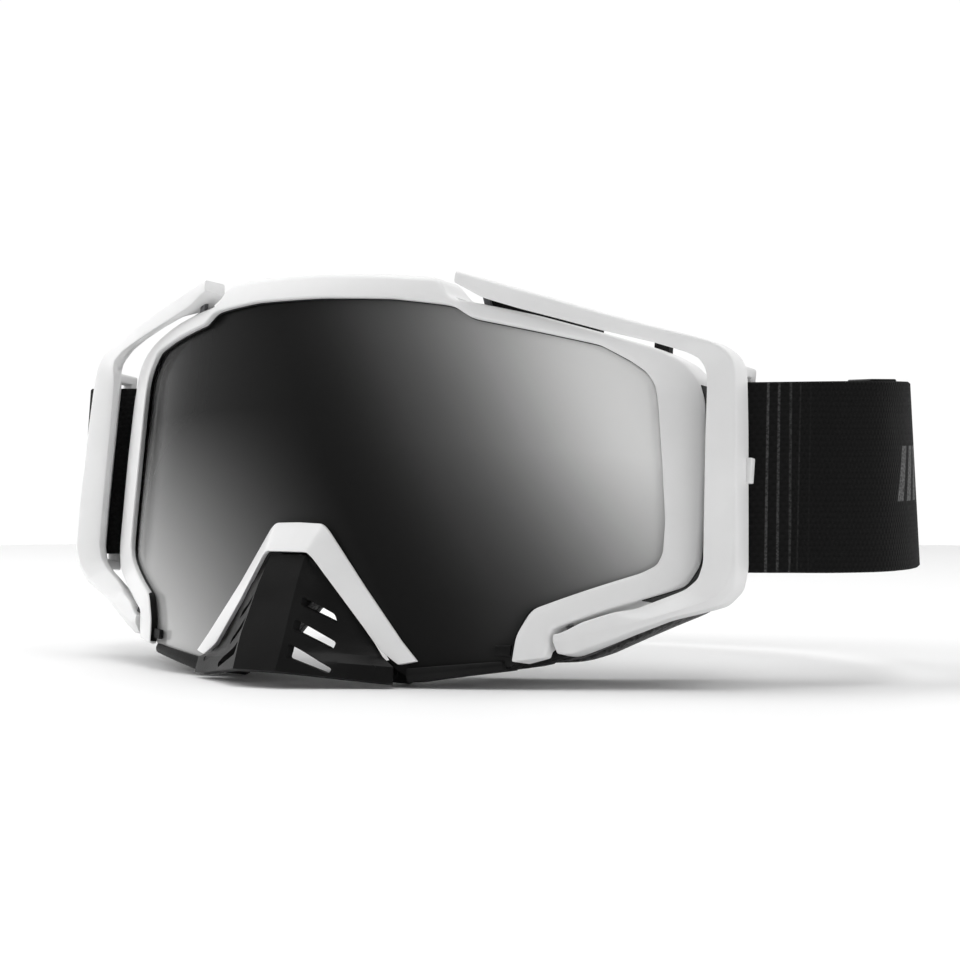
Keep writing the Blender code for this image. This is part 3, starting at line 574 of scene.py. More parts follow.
class Paint:
    """A Principled material whose parts are added one call at a time."""

    def __init__(self, name, colour, roughness, metallic=0.0):
        self.material = bpy.data.materials.new(name)
        self.material.use_nodes = True
        self.tree = self.material.node_tree
        self.shader = self.tree.nodes["Principled BSDF"]
        self.set("Base Color", (*colour, 1))
        self.set("Roughness", roughness)
        self.set("Metallic", metallic)
        self.height = None
        self.where = self.node("ShaderNodeTexCoord", "Object")

    def fill(self, socket, value):
        if isinstance(value, bpy.types.NodeSocket):
            self.tree.links.new(value, socket)
        else:
            socket.default_value = value

    def set(self, name, value):
        self.fill(self.shader.inputs[name], value)

    def node(self, kind, output, inputs=(), **settings):
        """One output of a new node, with its inputs filled by name or number."""
        made = self.tree.nodes.new(kind)
        for key, value in settings.items():
            setattr(made, key, value)
        for key, value in dict(inputs).items():
            self.fill(made.inputs[key], value)
        return made.outputs[output]

    def math(self, operation, *values):
        return self.node("ShaderNodeMath", 0, enumerate(values), operation=operation)

    def split(self, vector, count):
        return [self.node("ShaderNodeSeparateXYZ", k, {0: vector}) for k in range(count)]

    def noise(self, scale, detail, where=None, rough=0.5):
        inputs = {"Vector": where or self.where, "Scale": scale, "Detail": detail, "Roughness": rough}
        return self.node("ShaderNodeTexNoise", "Fac", inputs)

    def cells(self, scale):
        return self.node("ShaderNodeTexVoronoi", "Distance", {"Vector": self.where, "Scale": scale})

    def stretched(self, factors):
        return self.node("ShaderNodeMapping", "Vector", {"Vector": self.where, "Scale": factors})

    def ramp(self, value, stops, smooth=False):
        """Grey levels or colours at places from 0 to 1."""
        made = self.tree.nodes.new("ShaderNodeValToRGB")
        ramp = made.color_ramp
        ramp.interpolation = "B_SPLINE" if smooth else "LINEAR"
        while len(ramp.elements) < len(stops):
            ramp.elements.new(0.5)
        for element, (place, colour) in zip(ramp.elements, stops):
            element.position = place
            element.color = (*colour, 1) if hasattr(colour, "__len__") else (colour, colour, colour, 1)
        self.fill(made.inputs["Fac"], value)
        return made.outputs["Color"]

    def mix(self, share, base, level):
        """A colour output mixed with a grey level."""
        grey = (level, level, level, 1)
        return self.node("ShaderNodeMix", 2, {0: share, 6: base, 7: grey}, data_type="RGBA")

    def colour(self, output):
        self.set("Base Color", output)

    def roughness(self, value, low, high):
        inputs = {"Value": value, "To Min": low, "To Max": high}
        self.set("Roughness", self.node("ShaderNodeMapRange", 0, inputs))

    def bump(self, value, distance, strength=1.0):
        """Adds a layer of relief, with its full height in millimetres."""
        inputs = {"Height": value, "Distance": distance * MM, "Strength": strength}
        if self.height:
            inputs["Normal"] = self.height
        self.height = self.node("ShaderNodeBump", "Normal", inputs)
        self.set("Normal", self.height)


# ---------------------------------------------------------------- materials

def white_plastic():
    """Moulded white nylon: faint mottling, an even fine texture and a few handling marks."""
    paint = Paint("white_plastic", (0.8, 0.8, 0.8), 0.3)
    mottle = paint.noise(45, 4)
    paint.colour(paint.ramp(mottle, [(0.3, 0.775), (0.7, 0.825)]))
    marks = paint.noise(30, 6, paint.stretched((1, 1, 14)), 0.7)
    paint.roughness(marks, 0.24, 0.4)
    paint.bump(paint.noise(900, 2), 0.01)
    paint.bump(marks, 0.015, 0.5)
    paint.set("Coat Weight", 0.12)
    paint.set("Coat Roughness", 0.15)
    return paint.material


def black_plastic(name="black_plastic", grain=0.03, shine=(0.38, 0.56)):
    """Moulded black nylon with a spark-eroded grain."""
    paint = Paint(name, (0.02, 0.02, 0.02), 0.5)
    paint.set("Specular IOR Level", 0.16)
    mottle = paint.noise(60, 4)
    paint.colour(paint.ramp(mottle, [(0.3, 0.005), (0.7, 0.01)]))
    paint.roughness(paint.noise(220, 3), *shine)
    paint.bump(paint.cells(2600), grain)
    paint.bump(paint.noise(140, 3), 0.02, 0.4)
    return paint.material


# The lens's greys are a painted reflection: a dark band leans across it by REFLECTION_DARK_SLANT degrees for
# each millimetre of height, and both sides get paler away from it; the levels on the right fade low down, and
# those on the left grow there.
REFLECTION_DARK_SLANT = 0.31
REFLECTION_DARK_ANGLE = 6.5
REFLECTION_RIGHT_SPREAD = 50.0
REFLECTION_RIGHT_FADE = (0.0135, 0.76)
REFLECTION_RIGHT_LEVELS = [
    (0.0, 0.0), (0.1, 0.004), (0.2, 0.02), (0.3, 0.06), (0.42, 0.125), (0.54, 0.27), (0.66, 0.52),
    (0.78, 0.84), (0.9, 1.0), (1.0, 1.0),
]
REFLECTION_LEFT_SPREAD = 40.0
REFLECTION_LEFT_TOP = 27.0
REFLECTION_LEFT_SLOPE = 0.0085
REFLECTION_LEFT_POWER = 1.4


def mirror_lens():
    """Silver mirror coat over a smoke lens, its colour a painted reflection: darkest on a slanting band,
    paler towards both sides.
    """
    paint = Paint("mirror_lens", (0.3, 0.3, 0.3), 0.1, 0.3)
    paint.set("Specular IOR Level", 0.1)
    paint.set("Specular Tint", (0.35, 0.35, 0.35, 1))
    do = paint.math
    x, y, z = paint.split(paint.where, 3)
    angle = do("DEGREES", do("ARCSINE", do("DIVIDE", x, (BEND_RADIUS - LENS_DEPTH) * MM)))
    rise_y = do("MULTIPLY", do("SUBTRACT", y, SHIFT.y * MM), math.sin(LEAN) / MM)
    rise_z = do("MULTIPLY", do("SUBTRACT", z, SHIFT.z * MM), math.cos(LEAN) / MM)
    height = do("ADD", rise_y, rise_z)
    away = do("ADD", angle, do("MULTIPLY_ADD", height, REFLECTION_DARK_SLANT, -REFLECTION_DARK_ANGLE))
    right = do("DIVIDE", do("MAXIMUM", away, 0.0), REFLECTION_RIGHT_SPREAD)
    left = do("DIVIDE", do("MAXIMUM", do("MULTIPLY", away, -1.0), 0.0), REFLECTION_LEFT_SPREAD)
    low_fade = do("MINIMUM", do("MAXIMUM", do("MULTIPLY_ADD", height, *REFLECTION_RIGHT_FADE), 0.5), 1.0)
    right_reflection = do("MULTIPLY", paint.ramp(right, REFLECTION_RIGHT_LEVELS, smooth=True), low_fade)
    slope = do("MULTIPLY", do("SUBTRACT", REFLECTION_LEFT_TOP, height), REFLECTION_LEFT_SLOPE)
    left_reflection = do("MULTIPLY", do("POWER", left, REFLECTION_LEFT_POWER), do("MAXIMUM", slope, 0.01))
    reflection_sum = do("ADD", do("ADD", right_reflection, left_reflection), 0.012)
    haze = do("MULTIPLY", paint.noise(9, 2), 0.004)
    # grey is the painted reflection's level, set as the lens's base colour.
    grey = do("MINIMUM", do("ADD", reflection_sum, haze), 0.98)
    paint.colour(paint.ramp(grey, [(0.0, 0.0), (1.0, (1.0, 1.0, 0.995))]))
    paint.roughness(paint.noise(60, 5), 0.1, 0.15)
    paint.bump(paint.noise(14, 1), 0.01, 0.3)
    return paint.material


def steel():
    paint = Paint("pin_steel", (0.12, 0.12, 0.125), 0.3, 1.0)
    lines = paint.noise(500, 3, paint.stretched((1, 1, 0.05)))
    paint.roughness(lines, 0.22, 0.4)
    paint.bump(lines, 0.01)
    return paint.material


def foam(name, low, high):
    """Open-cell foam: pores of two sizes, darker in the pores."""
    paint = Paint(name, (low, low, low), 0.95)
    pores = paint.cells(1150)
    big = paint.cells(620)
    mottle = paint.noise(90, 4)
    open_cells = paint.math("MULTIPLY", pores, big)
    shade = paint.math("MULTIPLY_ADD", open_cells, 1.6, paint.math("MULTIPLY", mottle, 0.4))
    paint.colour(paint.ramp(shade, [(0.15, low), (0.8, high)]))
    paint.bump(pores, 0.35)
    paint.bump(big, 0.5, 0.8)
    paint.set("Sheen Weight", 0.15)
    return paint.material


def fleece():
    """Brushed fleece: soft tufts with a pale bloom at glancing angles."""
    paint = Paint("black_fleece", (0.03, 0.03, 0.03), 1.0)
    tufts = paint.noise(1500, 5, rough=0.8)
    nap = paint.noise(160, 4)
    both = paint.math("MULTIPLY_ADD", tufts, 0.6, paint.math("MULTIPLY", nap, 0.4))
    paint.colour(paint.ramp(both, [(0.3, 0.01), (0.75, 0.06)]))
    paint.bump(tufts, 0.4)
    paint.bump(nap, 0.5, 0.6)
    paint.set("Sheen Weight", 0.6)
    paint.set("Sheen Roughness", 0.5)
    return paint.material


def cloth_place(paint):
    """Metres along the strap and across it, from the strap's own layout."""
    return paint.split(paint.node("ShaderNodeUVMap", 0, uv_map="cloth"), 2)


def band(paint, value, middle, half_width, soft):
    """1 within half_width of the middle, fading to 0 over soft, in millimetres."""
    away = paint.math("ABSOLUTE", paint.math("SUBTRACT", value, middle * MM))
    ends = {"Value": away, "From Min": (half_width + soft) * MM, "From Max": half_width * MM}
    return paint.node("ShaderNodeMapRange", 0, ends)


RIB_PITCH = 1.3
PICK_PITCH = 1.1
# Stripes across the strap, by place and strength, and the slanted bars of its print.
STRIPES = [(8.2, 0.11), (9.8, 0.09), (11.5, 0.06), (13.2, 0.025), (15.7, 0.008)]
STRIPE_HALF = 0.12
STRIPE_TILT = 0.025
PRINT_PLACES = (44.5, 50.5, 56.5, 62.5, 68.5)
PRINT_HALF_WIDTH = 1.7
PRINT_HALF_HEIGHT = 6.5
PRINT_MIDDLE = 0.5
PRINT_SLANT = 0.35
PRINT_EDGE = 0.15


def webbing(printed):
    """Woven elastic: ribs along it and picks across it, and outside thin stripes and a plain bar print."""
    paint = Paint("webbing_printed" if printed else "black_webbing", (0.015, 0.015, 0.016), 0.8)
    do = paint.math
    along, across = cloth_place(paint)
    rib = do("SINE", do("MULTIPLY", across, 2 * math.pi / (RIB_PITCH * MM)))
    row = do("ROUND", do("DIVIDE", across, RIB_PITCH * MM))
    picks = do("MULTIPLY", along, 2 * math.pi / (PICK_PITCH * MM))
    pick = do("SINE", do("MULTIPLY_ADD", row, math.pi, picks))
    weave = do("MULTIPLY_ADD", pick, 0.5, do("MULTIPLY", rib, 0.5))
    lint = paint.noise(700, 4, rough=0.7)
    dust = paint.noise(40, 3)
    shade = do("MULTIPLY_ADD", weave, 0.12, do("MULTIPLY_ADD", lint, 0.5, 0.25))
    base = paint.ramp(shade, [(0.2, 0.002), (0.85, 0.011)])
    base = paint.mix(do("MULTIPLY", dust, 0.3), base, 0.006)
    if printed:
        thread = paint.ramp(paint.noise(1800, 3), [(0.35, 0.25), (0.6, 1.0)])
        tilt = do("MULTIPLY_ADD", across, STRIPE_TILT, along)
        for place, strength in STRIPES:
            line = band(paint, tilt, place, STRIPE_HALF, STRIPE_HALF)
            base = paint.mix(do("MULTIPLY", do("MULTIPLY", line, thread), strength), base, 0.6)
        slant = do("MULTIPLY_ADD", across, -PRINT_SLANT, along)
        tall = band(paint, across, PRINT_MIDDLE, PRINT_HALF_HEIGHT, PRINT_EDGE)
        for place in PRINT_PLACES:
            bar = do("MULTIPLY", band(paint, slant, place, PRINT_HALF_WIDTH, PRINT_EDGE), tall)
            base = paint.mix(do("MULTIPLY", do("MULTIPLY", bar, thread), 0.3), base, 0.42)
    paint.colour(base)
    paint.roughness(lint, 0.7, 0.95)
    paint.bump(weave, 0.12)
    paint.bump(lint, 0.08, 0.6)
    paint.set("Specular IOR Level", 0.15)
    return paint.material


def silicone():
    paint = Paint("grey_silicone", (0.2, 0.2, 0.21), 0.45)
    mottle = paint.noise(120, 3)
    paint.colour(paint.ramp(mottle, [(0.3, 0.16), (0.7, 0.23)]))
    paint.roughness(paint.noise(300, 2), 0.35, 0.55)
    paint.bump(paint.noise(350, 3), 0.06)
    return paint.material


def thread():
    paint = Paint("stitch_thread", (0.03, 0.03, 0.03), 0.7)
    twist = paint.noise(1600, 2, paint.stretched((1, 1, 0.3)))
    paint.colour(paint.ramp(twist, [(0.3, 0.02), (0.7, 0.07)]))
    paint.bump(twist, 0.06)
    return paint.material


def floor_paint():
    paint = Paint("pale_floor", (0.9, 0.9, 0.9), 0.6)
    paint.colour(paint.ramp(paint.noise(3, 3), [(0.3, 0.9), (0.7, 0.92)]))
    paint.set("Specular IOR Level", 0.2)
    return paint.material


# ---------------------------------------------------------------- face pieces

def make_lens(paint):
    outline = offset(opening(), LENS_HOLD)
    centre = Vector((0, RING_CENTRE_Z))
    sections = []
    for depth, order in ((LENS_DEPTH, LENS_SHARES), (LENS_DEPTH + LENS_THICK, LENS_SHARES[::-1])):
        for share in order:
            spots = [centre.lerp(corner, share) for corner in outline]
            sections.append([Vector((p.x, bend_y(p.x, depth), p.y)) for p in spots])
    put(loft("lens_plate", sections, face), "frame", paint, "mirror_lens", "lens")


def both_sides(rows):
    """The right half's rows from the top centre, after their mirror image."""
    return [(-r[0], r[1], -r[2], *r[3:]) for r in rows[:0:-1]] + rows


def inner_outwards(rows):
    """Outward directions of the rim's inner edge, in x and z."""
    along = np.gradient(rows[:, 0:2], axis=0)
    outward = np.column_stack([-along[:, 1], along[:, 0]])
    return outward / np.linalg.norm(outward, axis=1)[:, None]


def make_rim(rows, outward, paint):
    sections = []
    for (xi, zi, xo, zo, stand, edge), (ox, oz) in zip(rows, outward):
        xr = xi + ox * RABBET
        zr = zi + oz * RABBET
        depth = float(np.interp(zi, HOOK_FADE, (HOOK_DEPTH, RIM_DEPTH)))
        back = bend_y(xo, stand) + depth
        xm = (xi + xo) / 2
        crown = (bend_y(xi) + bend_y(xo, stand)) / 2 - RIM_CROWN
        corners = [
            (xi, bend_y(xi), zi), (xm, crown, (zi + zo) / 2), (xo, bend_y(xo, stand), zo), (xo, back, zo),
            (xr, bend_y(xr, depth), zr), (xr, bend_y(xr, RIM_LIP), zr), (xi, bend_y(xi, RIM_LIP), zi),
        ]
        sections.append(round_section(corners, (RIM_INNER_ROUND, 3.0, edge, 0.6, 0.3, 0.2, 0.3)))
    shell = loft("front_rim", domed(sections, 0.5), face)
    put(shell, "frame", paint, "white_plastic", "front_shell")


def make_lens_edging(rows, outward, paint):
    """Black edging on the rim's inner wall, in front of the lens."""
    sections = []
    for (xi, zi, *_), (ox, oz) in zip(rows, outward):
        front = EDGING_FRONT if zi > EDGING_LOW_FROM else EDGING_FRONT_LOW
        section = []
        proud, sunk = EDGING_SIDES
        for away, depth in ((proud, front), (sunk, front - 0.1), (sunk, EDGING_BACK), (proud, EDGING_BACK)):
            x = xi + ox * away
            section.append(Vector((x, bend_y(x, depth), zi + oz * away)))
        sections.append(section)
    edging = loft("lens_edging", sections, face)
    put(edging, "frame", paint, "black_plastic")


def make_gap_shade_skin(side, hand, rows, paint):
    """Black skin on the rim's outer wall: painted shade in the gap beside the outrigger."""
    sections = []
    for xi, zi, xo, zo, stand, _ in rows:
        if side * xo < GAP_SHADE_FROM_X or not GAP_SHADE_HEIGHTS[0] < zo < GAP_SHADE_HEIGHTS[1]:
            continue
        out = Vector((xo - xi, zo - zi)).normalized()
        front = bend_y(xo, stand)
        section = []
        for away, depth in GAP_SHADE_SECTION:
            section.append(Vector((xo + out.x * away, front + depth, zo + out.y * away)))
        sections.append(section)
    shade_skin = loft(f"gap_shade_skin_{hand}", sections, face)
    put(shade_skin, "frame", paint, "black_plastic")


def make_plate(name, rows, near, far, side, paint):
    """A black plate along rows of x, low z and high z, between two depths; the brow ones are painted shade.
    """
    sections = []
    for x, low, high in smooth_plate(rows):
        corners = [
            (x, bend_y(x, near), low), (x, bend_y(x, near), high), (x, bend_y(x, far), high),
            (x, bend_y(x, far), low),
        ]
        sections.append(sided(round_section(corners, (PLATE_ROUND,) * 4), side))
    put(loft(name, sections, face), "frame", paint, "black_plastic")


def smooth_plate(rows):
    xs, lows, highs = zip(*rows)
    places = np.linspace(xs[0], xs[-1], PLATE_STEPS)
    return zip(places, np.interp(places, xs, lows), np.interp(places, xs, highs))


def make_plates(side, hand, paint):
    # Brow plate and tab: painted shade in the gap between the upper arm and the rim.
    make_plate(f"brow_shade_plate_{hand}", BROW_SHADE_PLATE, *BROW_SHADE_DEPTHS, side, paint)
    make_plate(f"brow_shade_tab_{hand}", BROW_SHADE_TAB, *BROW_SHADE_DEPTHS, side, paint)
    make_plate(f"chin_plate_{hand}", CHIN_PLATE, *CHIN_DEPTHS, side, paint)
    make_plate(f"lens_clip_{hand}", LENS_CLIP, *CLIP_DEPTHS, side, paint)


def ring_sections(outline, profile, radii):
    loops = [offset(outline, distance) for distance, depth in profile]
    sections = []
    for i in range(len(outline)):
        corners = [on_face(loop[i].x, loop[i].y, depth) for loop, (_, depth) in zip(loops, profile)]
        sections.append(round_section(corners, radii))
    return sections


def make_inner_frame(paint):
    outside = FRAME_OUTSIDE
    inside = outside - FRAME_WALL
    flange = FRAME_FRONT + FRAME_FLANGE
    profile = [
        (-FRAME_FLANGE_IN, FRAME_FRONT), (outside, FRAME_FRONT), (outside, FRAME_BACK),
        (inside, FRAME_BACK), (inside, flange), (-FRAME_FLANGE_IN, flange),
    ]
    sections = ring_sections(opening(), profile, (0.3, 0.4, 0.4, 0.3, 0.5, 0.4))
    carrier = loft("frame_carrier", sections, face, ring=True)
    for x, width in TOP_VENTS + LOWER_VENTS:
        low_z, high_z = TOP_VENT_HEIGHTS if (x, width) in TOP_VENTS else LOWER_VENT_HEIGHTS
        middle = bend_y(x, VENT_DEPTH)
        low = (x - width / 2, middle - VENT_LENGTH_Y / 2, low_z)
        high = (x + width / 2, middle + VENT_LENGTH_Y / 2, high_z)
        hole = bevelled(block("vent_cutter", low, high, face), VENT_ROUND)
        cut(carrier, hole, "DIFFERENCE")
    for x, z in PEGS:
        front = bend_y(x, FRAME_FRONT) + SOCKET_INSET
        back = front + SOCKET_LENGTH
        cut(carrier, rod("socket", (x, front, z), (x, back, z), SOCKET_RADIUS, face), "UNION")
        cut(carrier, rod("hole", (x, front - 2, z), (x, back + 1, z), PEG_RADIUS + GAP, face), "DIFFERENCE")
    smooth_shading(carrier)
    put(carrier, "frame", paint, "black_plastic", "inner_frame")


def lip_base(side):
    near, far = LIP_HALF_SPAN
    bottom = LENS_OPENING[-3][1] + 6
    base = [p for p in spaced(rounded(LENS_OPENING), 4 * HALF_RING) if near < p.x < far and p.y < bottom]
    base = spaced(base, 40)
    if side < 0:
        base = [Vector((-p.x, p.y)) for p in reversed(base)]
    return base


def strip_sections(outline, profile, radii):
    """Sections along an open line, with (distance out, depth) pairs given at each share of its length."""
    last = len(outline) - 1
    sections = []
    for i, point in enumerate(outline):
        outward = outward_of(outline[max(i - 1, 0)], outline[min(i + 1, last)])
        moved = [(point + outward * distance, depth) for distance, depth in profile(i / last)]
        sections.append(round_section([on_face(p.x, p.y, depth) for p, depth in moved], radii))
    return sections


def make_lower_lip(side, hand, paint):
    under = LENS_HOLD + GAP

    def profile(share):
        height = LIP_HEIGHTS[0] + (LIP_HEIGHTS[1] - LIP_HEIGHTS[0]) * (1 - share if side > 0 else share)
        return [
            (0, LIP_FRONT + 0.5), (height / 2, LIP_FRONT), (height, LIP_FRONT + 0.6), (height, LIP_BACK),
            (under, LIP_BACK), (under, RIM_LIP), (0, RIM_LIP),
        ]

    sections = strip_sections(lip_base(side), profile, (0.3, 0.4, 0.6, 0.4, 0.3, 0.2, 0.2))
    lip = loft(f"lower_lip_{hand}", domed(sections, 0.4), face)
    put(lip, "frame", paint, "black_plastic")


def make_foam(paints):
    outline = mirrored(spaced(rounded(FOAM_OUTLINE), HALF_RING))
    for name, front, back, outside, inside, edge in FOAM_LAYERS:
        crown = FLEECE_CROWN if name == "face_fleece" else 0.0
        middle = (inside + outside) / 2
        profile = [
            (inside, front), (outside, front), (outside + 0.3, (front + back) / 2), (outside, back - crown),
            (middle, back + 0.2 * crown), (inside, back - crown), (inside - 0.3, (front + back) / 2),
        ]
        sections = ring_sections(outline, profile, (0.6, 0.6, 1.0, edge, 3.0, edge, 1.0))
        ring = loft(f"{name}_ring", sections, face, ring=True)
        slot = "black_fleece" if name == "face_fleece" else "grey_foam"
        put(ring, "frame", paints[name], slot, name)


def make_vent_foam(paint):
    outside = FRAME_OUTSIDE - FRAME_WALL - GAP
    front = VENT_DEPTH - VENT_LENGTH_Y / 2 - 1
    back = VENT_DEPTH + VENT_LENGTH_Y / 2 + 1
    inside = outside - VENT_FOAM_THICK
    profile = [(inside, front), (outside, front), (outside, back), (inside, back)]
    half = spaced(rounded(LENS_OPENING), 4 * HALF_RING)
    top_right = [p for p in half if p.x < TOP_FOAM_END and p.y > 0]
    top = [Vector((-p.x, p.y)) for p in top_right[:0:-1]] + top_right
    lower = [p for p in half if LOWER_FOAM_SPAN[0] < p.x < LOWER_FOAM_SPAN[1] and p.y < LOWER_FOAM_UNDER]
    lines = {
        "vent_foam_top": spaced(top, 90),
        "vent_foam_lower_right": spaced(lower, 16),
        "vent_foam_lower_left": spaced([Vector((-p.x, p.y)) for p in reversed(lower)], 16),
    }
    for node, line in lines.items():
        strip = loft(f"{node}_strip", strip_sections(line, lambda share: profile, (0.5,) * 4), face)
        put(strip, "frame", paint, "grey_foam", node)


def make_nose_guard(paint):
    """Folded plate with a raised middle panel, its slots cut through and every edge rounded."""
    rows = []
    for *ridge, edge_x, edge_y, edge_z in GUARD_ROWS:
        ridge = Vector(ridge)
        edge = Vector((edge_x, edge_y, edge_z))
        middle = ridge.lerp(edge, 0.5) + Vector((0, GUARD_BELLY, 0))
        right = [ridge.lerp(middle, k / 3) for k in range(3)] + [middle.lerp(edge, k / 3) for k in range(4)]
        left = [Vector((-p.x, p.y, p.z)) for p in reversed(right)]
        centre = [left[-1].lerp(right[0], k / 3) for k in (1, 2)]
        rows.append(left + centre + right)
    fine = []
    for a, b in zip(rows, rows[1:]):
        fine += [[p.lerp(q, k / 3) for p, q in zip(a, b)] for k in range(3)]
    fine.append(rows[-1])
    columns = len(fine[0])
    faces = []
    for r in range(len(fine) - 1):
        for c in range(columns - 1):
            corner = r * columns + c
            faces.append((corner, corner + columns, corner + columns + 1, corner + 1))
    guard = add_mesh("nose_guard_plate", [p for row in fine for p in row], faces, face)
    skin = guard.modifiers.new("thickness", "SOLIDIFY")
    skin.thickness = GUARD_THICK * MM
    skin.offset = -1
    skin.use_even_offset = True
    apply_modifiers(guard)
    for side in (1, -1):
        for corners in GUARD_SLOTS:
            outline = [(side * x, z) for x, z in corners]
            cutter = bevelled(prism("slot_cutter", outline, *SLOT_DEPTHS, face), SLOT_ROUND)
            cut(guard, cutter, "DIFFERENCE")
    for x, z in PEGS:
        back = bend_y(x, FRAME_FRONT) + SOCKET_LENGTH - 1
        cut(guard, rod("peg", (x, back - PEG_LENGTH, z), (x, back, z), PEG_RADIUS, face), "UNION")
    bevelled(guard, 0.3, 2, 28)
    smooth_shading(guard)
    put(guard, "nose_guard", paint, "black_plastic", "nose_guard")


def make_nose_trim(paint):
    sections = []
    for xo, zo, xi, zi, yo, yi in smooth_rows(both_sides(TRIM), 0.5, 0.5):
        middle = ((xo + xi) / 2, (yo + yi) / 2 - 0.15, (zo + zi) / 2)
        corners = [
            (xo, yo, zo), middle, (xi, yi, zi), (xi, yi + TRIM_THICK_INNER, zi),
            (xo, yo + TRIM_THICK_OUTER, zo),
        ]
        sections.append(round_section(corners, (0.35, 2.5, 0.35, 0.3, 0.25)))
    trim = loft("nose_chevron", domed(sections, 0.3), face)
    put(trim, "nose_guard", paint, "white_plastic", "nose_trim")


# ---------------------------------------------------------------- outriggers

def sided(points, side):
    return [Vector((side * p.x, p.y, p.z)) for p in points]


def make_pins(paint):
    down = (PIVOT_LOWER - PIVOT_UPPER).normalized()
    for side, hand in ((1, "right"), (-1, "left")):
        for height, pivot, way in (("upper", PIVOT_UPPER, down), ("lower", PIVOT_LOWER, -down)):
            ends = [pivot + way * (GAP - PIN_ABOVE), pivot + way * (PIN_LENGTH - PIN_ABOVE - GAP)]
            pin = rod(f"pin_{height}_{hand}", *sided(ends, side), PIN_RADIUS, face)
            put(pin, "frame", paint, "pin_steel", f"pivot_pin_{height}_{hand}")


def make_outrigger(side, hand, paint):
    sections = []
    for xo, zo, xi, zi, y, depth, bevel, inset in smooth_rows(OUTRIGGER, 0.7, 0.8):
        outer = Vector((xo, 0, zo))
        inner = Vector((xi, 0, zi))
        out = (outer - inner).normalized()
        wide = (outer - inner).length
        bevel = min(bevel, BEVEL_LIMIT * wide)
        crease = outer - out * bevel + Vector((0, y, 0))
        crown = (inner + outer - out * bevel) / 2 + Vector((0, y - OUTRIGGER_CROWN, 0))
        shoulder = outer + out * SHOULDER_OUT + Vector((0, y + bevel * SHOULDER_BACK, 0))
        corners = [
            inner + Vector((0, y, 0)), crown, crease, shoulder,
            outer + out * OUTRIGGER_FLARE + Vector((0, y + depth, 0)),
            inner + out * inset + Vector((0, y + depth, 0)), inner + Vector((0, y + OUTRIGGER_WALL, 0)),
        ]
        sections.append(sided(round_section(corners, (0.45, 2.0, 0.3, 0.6, 0.7, 0.5, 0.7)), side))
    arm = loft(f"outrigger_arm_{hand}", domed(sections, 0.2), face)
    centre = Vector((side * STRAP_BAR.x, STRAP_BAR.y, STRAP_BAR.z))
    half = Vector((BAR_HALF_X, BAR_HALF_Y, BAR_HALF_Z))
    cut(arm, bevelled(block("bar", centre - half, centre + half, face), 0.7), "UNION")
    for end in (1, -1):
        top = centre.z + end * BAR_HALF_Z
        low = Vector((centre.x - BAR_HALF_X, WEB_FRONT, min(top, top - end * WEB_THICK / 2) - WEB_THICK / 2))
        high = Vector((centre.x + BAR_HALF_X, centre.y + BAR_HALF_Y, low.z + WEB_THICK))
        cut(arm, bevelled(block("web", low, high, face), 0.6), "UNION")
    corners = [Vector((side * x, y, z)) for x, y, z in TAB]
    tab = block("tab", [min(c) for c in zip(*corners)], [max(c) for c in zip(*corners)], face)
    cut(arm, bevelled(tab, 0.3), "UNION")
    smooth_shading(arm)
    put(arm, f"outrigger_{hand}", paint, "white_plastic", f"outrigger_{hand}")


# ---------------------------------------------------------------- strap

def strap_line():
    """The outer band's centre line, right half, with the slider's stretch kept straight."""
    points = [Vector(p) for p in STRAP_ROUTE]
    points.append(Vector((-points[-2].x, points[-2].y)))
    made = []
    for i in range(len(points) - 2):
        a = points[max(i - 1, 0)]
        b, c, d = points[i], points[i + 1], points[i + 2]
        for k in range(ROUTE_STEPS):
            t = k / ROUTE_STEPS
            made.append(0.5 * (2 * b + (c - a) * t + (2 * a - 5 * b + 4 * c - d) * t * t
                               + (3 * b - a - 3 * c + d) * t ** 3))
    made.append(points[-2])
    start = points[STRETCH_FROM]
    along = (points[STRETCH_TO] - start).normalized()
    for i in range(STRETCH_FROM * ROUTE_STEPS, STRETCH_TO * ROUTE_STEPS + 1):
        made[i] = start + along * (made[i] - start).dot(along)
    return made


def route_at(target):
    """The route's point at a distance from the outrigger's bar."""
    for i in range(len(ROUTE) - 1):
        if ALONG[i + 1] >= target - 1e-9:
            return ROUTE[i].lerp(ROUTE[i + 1], (target - ALONG[i]) / (ALONG[i + 1] - ALONG[i]))
    return ROUTE[-1]


def normal_at(target):
    if target >= ALONG[-1] - 1e-6:
        return Vector((0, 1))
    return outward_of(route_at(min(target + 1, ALONG[-1])), route_at(max(target - 1, 0)))


def band_section(point, normal, length, side, half, thick, shift, middle):
    """A thin section with rounded edges: (x, y, z) points, and how far across the band each lies."""
    centre = Vector((0, 0, leaned(STRAP_BAR).z + STRAP_RISE * length))
    lean = LEAN * max(0.0, 1 - length / LEAN_FADE)
    up = Vector((0, math.sin(lean), math.cos(lean)))
    low = middle - half
    high = middle + half
    edge = thick * BAND_EDGE
    shares = [k / BAND_STEPS for k in range(1, BAND_STEPS)]
    outline = [(low + edge, -1), (low, -BAND_BLUNT), (low, BAND_BLUNT), (low + edge, 1)]
    outline += [(low + (high - low) * share, 1) for share in shares]
    outline += [(high - edge, 1), (high, BAND_BLUNT), (high, -BAND_BLUNT), (high - edge, -1)]
    outline += [(high - (high - low) * share, -1) for share in shares]
    points = []
    for height, across in outline:
        flare = -height * STRAP_FLARE * min(1.0, length / LEAN_FADE)
        flat = point + normal * (shift + across * thick / 2 + flare)
        spot = Vector((flat.x, flat.y, 0)) + centre + up * height
        points.append(Vector((side * spot.x, spot.y, spot.z)))
    return points, [height for height, across in outline]


